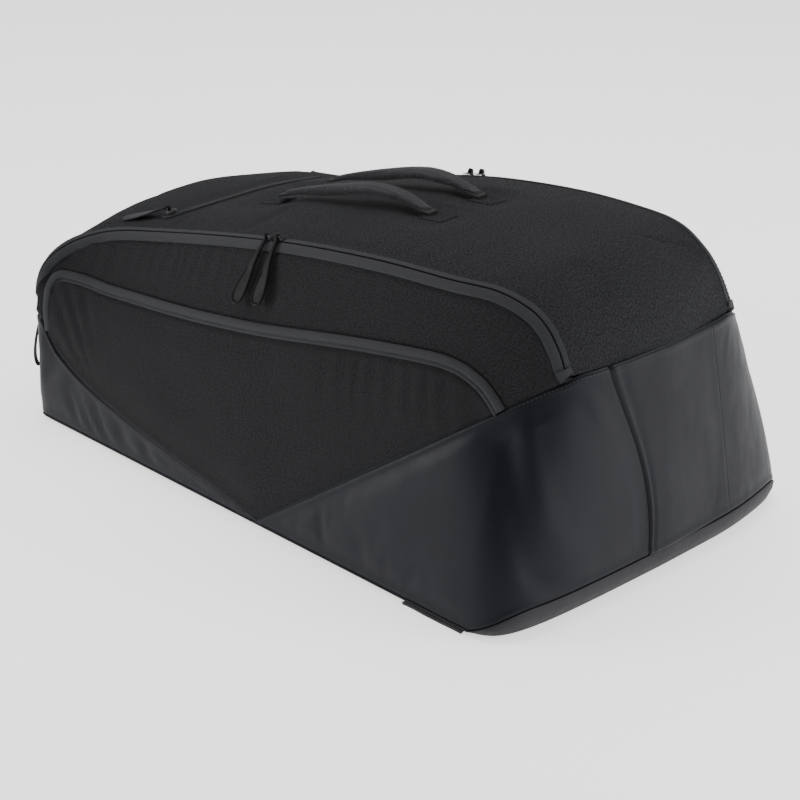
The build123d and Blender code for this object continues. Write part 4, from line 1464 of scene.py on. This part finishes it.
def shoulder_strap(side):
    """A padded strap of air mesh with a bound edge, lying in the recess under the bag."""
    mirror = (1, -1, 1) if side == "front" else (1, 1, 1)
    line = smooth_line(in_box("rear_shoulder_strap", PAD_SHAPE) * mirror)
    down = np.broadcast_to(np.array([0, 0, -1.0]), line.shape)
    pad = shaped_sweep(f"{side}_strap_padding", line[1:-1], down[1:-1], (28, 29.5, 29.5, 29.5, 29, 25),
                       (3.4, 4.0, 4.0, 4.0, 3.8, 3.2), STRAP_MESH, 3.0)
    ride(pad, f"{side}_shoulder_strap", [f"{side}_shoulder_strap"])
    across = frames_along(line, down)[1]
    for word, shift in (("outer", 29.6), ("inner", -29.6)):
        edge = line + across * shift
        binding = sweep(f"{side}_strap_{word}_binding", edge[2:-2], down[2:-2], oval(1.2, 1.9, 8), WEBBING, 5)
        ride(welded(binding), f"{side}_shoulder_strap")


def strap_webbing(side):
    name = f"{side}_strap_webbing"
    low, high = (from_frame(corner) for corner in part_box(name))
    sign = -1 if side == "front" else 1
    start = np.array([low[0] + 4, sign * (min(abs(low[1]), abs(high[1])) + 11.5), (low[2] + high[2]) / 2])
    end = np.array([high[0] - 4, sign * (max(abs(low[1]), abs(high[1])) - 11.5), (low[2] + high[2]) / 2])
    share = np.linspace(0, 1, 60)[:, None]
    line = start + (end - start) * share
    down = np.broadcast_to(np.array([0, 0, -1.0]), line.shape)
    profile = [(-12.5, -0.7), (12.5, -0.7), (12.5, 0.5), (11.5, 0.75), (-11.5, 0.75), (-12.5, 0.5)]
    ride(welded(sweep(name + "_band", line, down, profile, WEBBING, 3)), "bag", [name])


def strap_tab(side):
    """The folded fabric tab that holds the webbing's end at the base's edge."""
    name = f"{side}_strap_tab"
    low, high = (from_frame(corner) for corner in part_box(name))
    u, v = np.meshgrid(np.linspace(0, 1, 40), np.linspace(0, 1, 16))
    slant = 8 * (1 - v)
    x = low[0] + slant + u * (high[0] - low[0] - 2 * slant)
    inner = min(abs(low[1]), abs(high[1]))
    y = -(inner + v * (abs(high[1] - low[1])))
    z = high[2] - 0.3 + 0.5 * np.sin(u * 9) * v + 0.4 * window(v, 0.5, 1)
    edge = np.minimum(np.minimum(u, 1 - u) * 70, (1 - v) * 26)
    points = np.stack([x, y, z - 0.9 * (1 - window(edge, 0, 2.5))], -1)
    normals = np.broadcast_to(np.array([0, 0, 1.0]), points.shape)
    tab = fabric(f"{name}_fabric", points[::-1], normals, WEBBING, 3.2, WEBBING)
    ride(welded(mirrored(tab, side)), "bag", [name])


for side in ("front", "rear"):
    shoulder_strap(side)
    strap_webbing(side)
    strap_tab(side)


# ---- inside ----
def divider():
    """The padded wall between the two racket compartments."""
    low, high = (from_frame(corner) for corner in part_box("centre_divider"))
    u, v = np.meshgrid(np.linspace(0, 1, 150), np.linspace(0, 1, 60))
    x = low[0] + 6 + u * (high[0] - low[0] - 12 - 24 * v)
    roof = top_height(np.clip(x, -384, 364), 0) - 9
    z = low[2] + 0.5 + v * (roof - low[2])
    edge = np.minimum(np.minimum(u, 1 - u) * 750, np.minimum(v, 1 - v) * 260)
    quilt = 0.7 * np.abs(np.sin(x / 38)) * np.abs(np.sin(z / 38))
    y = -(1.4 + 1.3 * window(edge, 0, 12) + quilt * window(edge, 0, 12))
    upper = np.stack([x, y, z], -1)
    lower = np.stack([x, -y, z], -1)
    ride(closed_grid("divider_padding", upper, lower, LINING), "bag", ["centre_divider"])


def floor_board():
    """The stiffener under the lining, with rounded corners and a soft cover."""
    low, high = (from_frame(corner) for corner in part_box("base_board"))
    u, v = np.meshgrid(close_to_edges(90), close_to_edges(60))
    x = low[0] + u * (high[0] - low[0])
    y = low[1] + v * (high[1] - low[1])
    edge = np.minimum(np.minimum(u, 1 - u) * 716, np.minimum(v, 1 - v) * 446)
    z = high[2] - 1.6 * (1 - window(edge, 0, 4)) - 0.3 + 0.25 * np.sin(x / 31) * np.sin(y / 27)
    under = np.full_like(z, low[2] + 0.2)
    top_grid, bottom_grid = np.stack([x, y, z], -1), np.stack([x, y, under], -1)
    bottom_grid[0], bottom_grid[-1] = top_grid[0], top_grid[-1]
    bottom_grid[:, 0], bottom_grid[:, -1] = top_grid[:, 0], top_grid[:, -1]
    ride(closed_grid("floor_cover", top_grid, bottom_grid, LINING), "bag", ["base_board"])


divider()
floor_board()

# ---- CAD nodes that keep their own shape ----
for name in ("front_ladder_lock", "rear_ladder_lock"):
    frame["nodes"][name].data.materials.clear()
    frame["nodes"][name].data.materials.append(PLASTIC)


def end_tab(side):
    """The small folded tab that closes the main zip at its racket-head end."""
    line, _, _, between = slit_line()
    run = run_length(line)
    start = np.searchsorted(run, run[-1] - ZIP_FOLD)
    low, high = 1.6 - LOWER_TAPE, UPPER_TAPE - 0.6
    profile = [(low, -0.8), (high, -0.8), (high, 1.4), (high - 1, 2.2), (low + 1, 2.2), (low, 1.4)]
    tab = sweep(f"{side}_zip_end_fold", line[start:], between[start:], profile, TAPE, 1.5)
    ride(mirrored(tab, side), "bag", [f"{side}_zip_end_tab"])


for side in ("front", "rear"):
    end_tab(side)

# ---- floor, light and camera ----
FLOOR, floor_tree, floor_shader = material("studio_floor")
floor_tone = noise(floor_tree, coordinates(floor_tree, "Object"), 2.0, 2.0)
floor_tree.links.new(ramp(floor_tree, floor_tone, 0.3, 0.7, (0.86, 0.86, 0.86), (0.88, 0.88, 0.88)),
                     floor_shader.inputs["Base Color"])
floor_shader.inputs["Roughness"].default_value = 0.6
floor_shader.inputs["Emission Color"].default_value = (1, 1, 1, 1)
floor_shader.inputs["Emission Strength"].default_value = 1.1
floor = build("floor", [(-9000, -9000, 0), (9000, -9000, 0), (9000, 9000, 0), (-9000, 9000, 0)],
              [[0, 1, 2, 3]], [FLOOR])

world = bpy.data.worlds.new("studio")
world.use_nodes = True
world.node_tree.nodes["Background"].inputs["Color"].default_value = (1, 1, 1, 1)
world.node_tree.nodes["Background"].inputs["Strength"].default_value = 0.4
bpy.context.scene.world = world


def softbox(name, place, aim, width, height, power):
    """A rectangular lamp that faces a point."""
    light = bpy.data.lights.new(name, "AREA")
    light.shape = "RECTANGLE"
    light.size = width
    light.size_y = height
    light.energy = power
    lamp = link(bpy.data.objects.new(name, light))
    lamp.location = place
    lamp.rotation_euler = (Vector(aim) - Vector(place)).to_track_quat("-Z", "Y").to_euler()


softbox("overhead", (-0.2, 0.5, 2.4), (0, 0, 0.1), 2.2, 2.2, 55)
softbox("right_wall", (2.4, 1.4, 0.9), (0.2, 0, 0.2), 1.4, 1.4, 60)
softbox("left_front", (-2.0, -2.4, 1.0), (-0.1, 0, 0.2), 1.4, 1.4, 75)

CAMERA_TURN, CAMERA_RISE = math.radians(46), math.radians(24.5)
camera_data = bpy.data.cameras.new("camera")
camera_data.lens = 99
camera_data.sensor_width = 36
camera = link(bpy.data.objects.new("camera", camera_data))
camera.location = (1.6610, -1.6044, 1.1213)
back = Vector((math.sin(CAMERA_TURN) * math.cos(CAMERA_RISE), -math.cos(CAMERA_TURN) * math.cos(CAMERA_RISE),
               math.sin(CAMERA_RISE)))
camera.rotation_euler = (-back).to_track_quat("-Z", "Y").to_euler()
bpy.context.scene.camera = camera
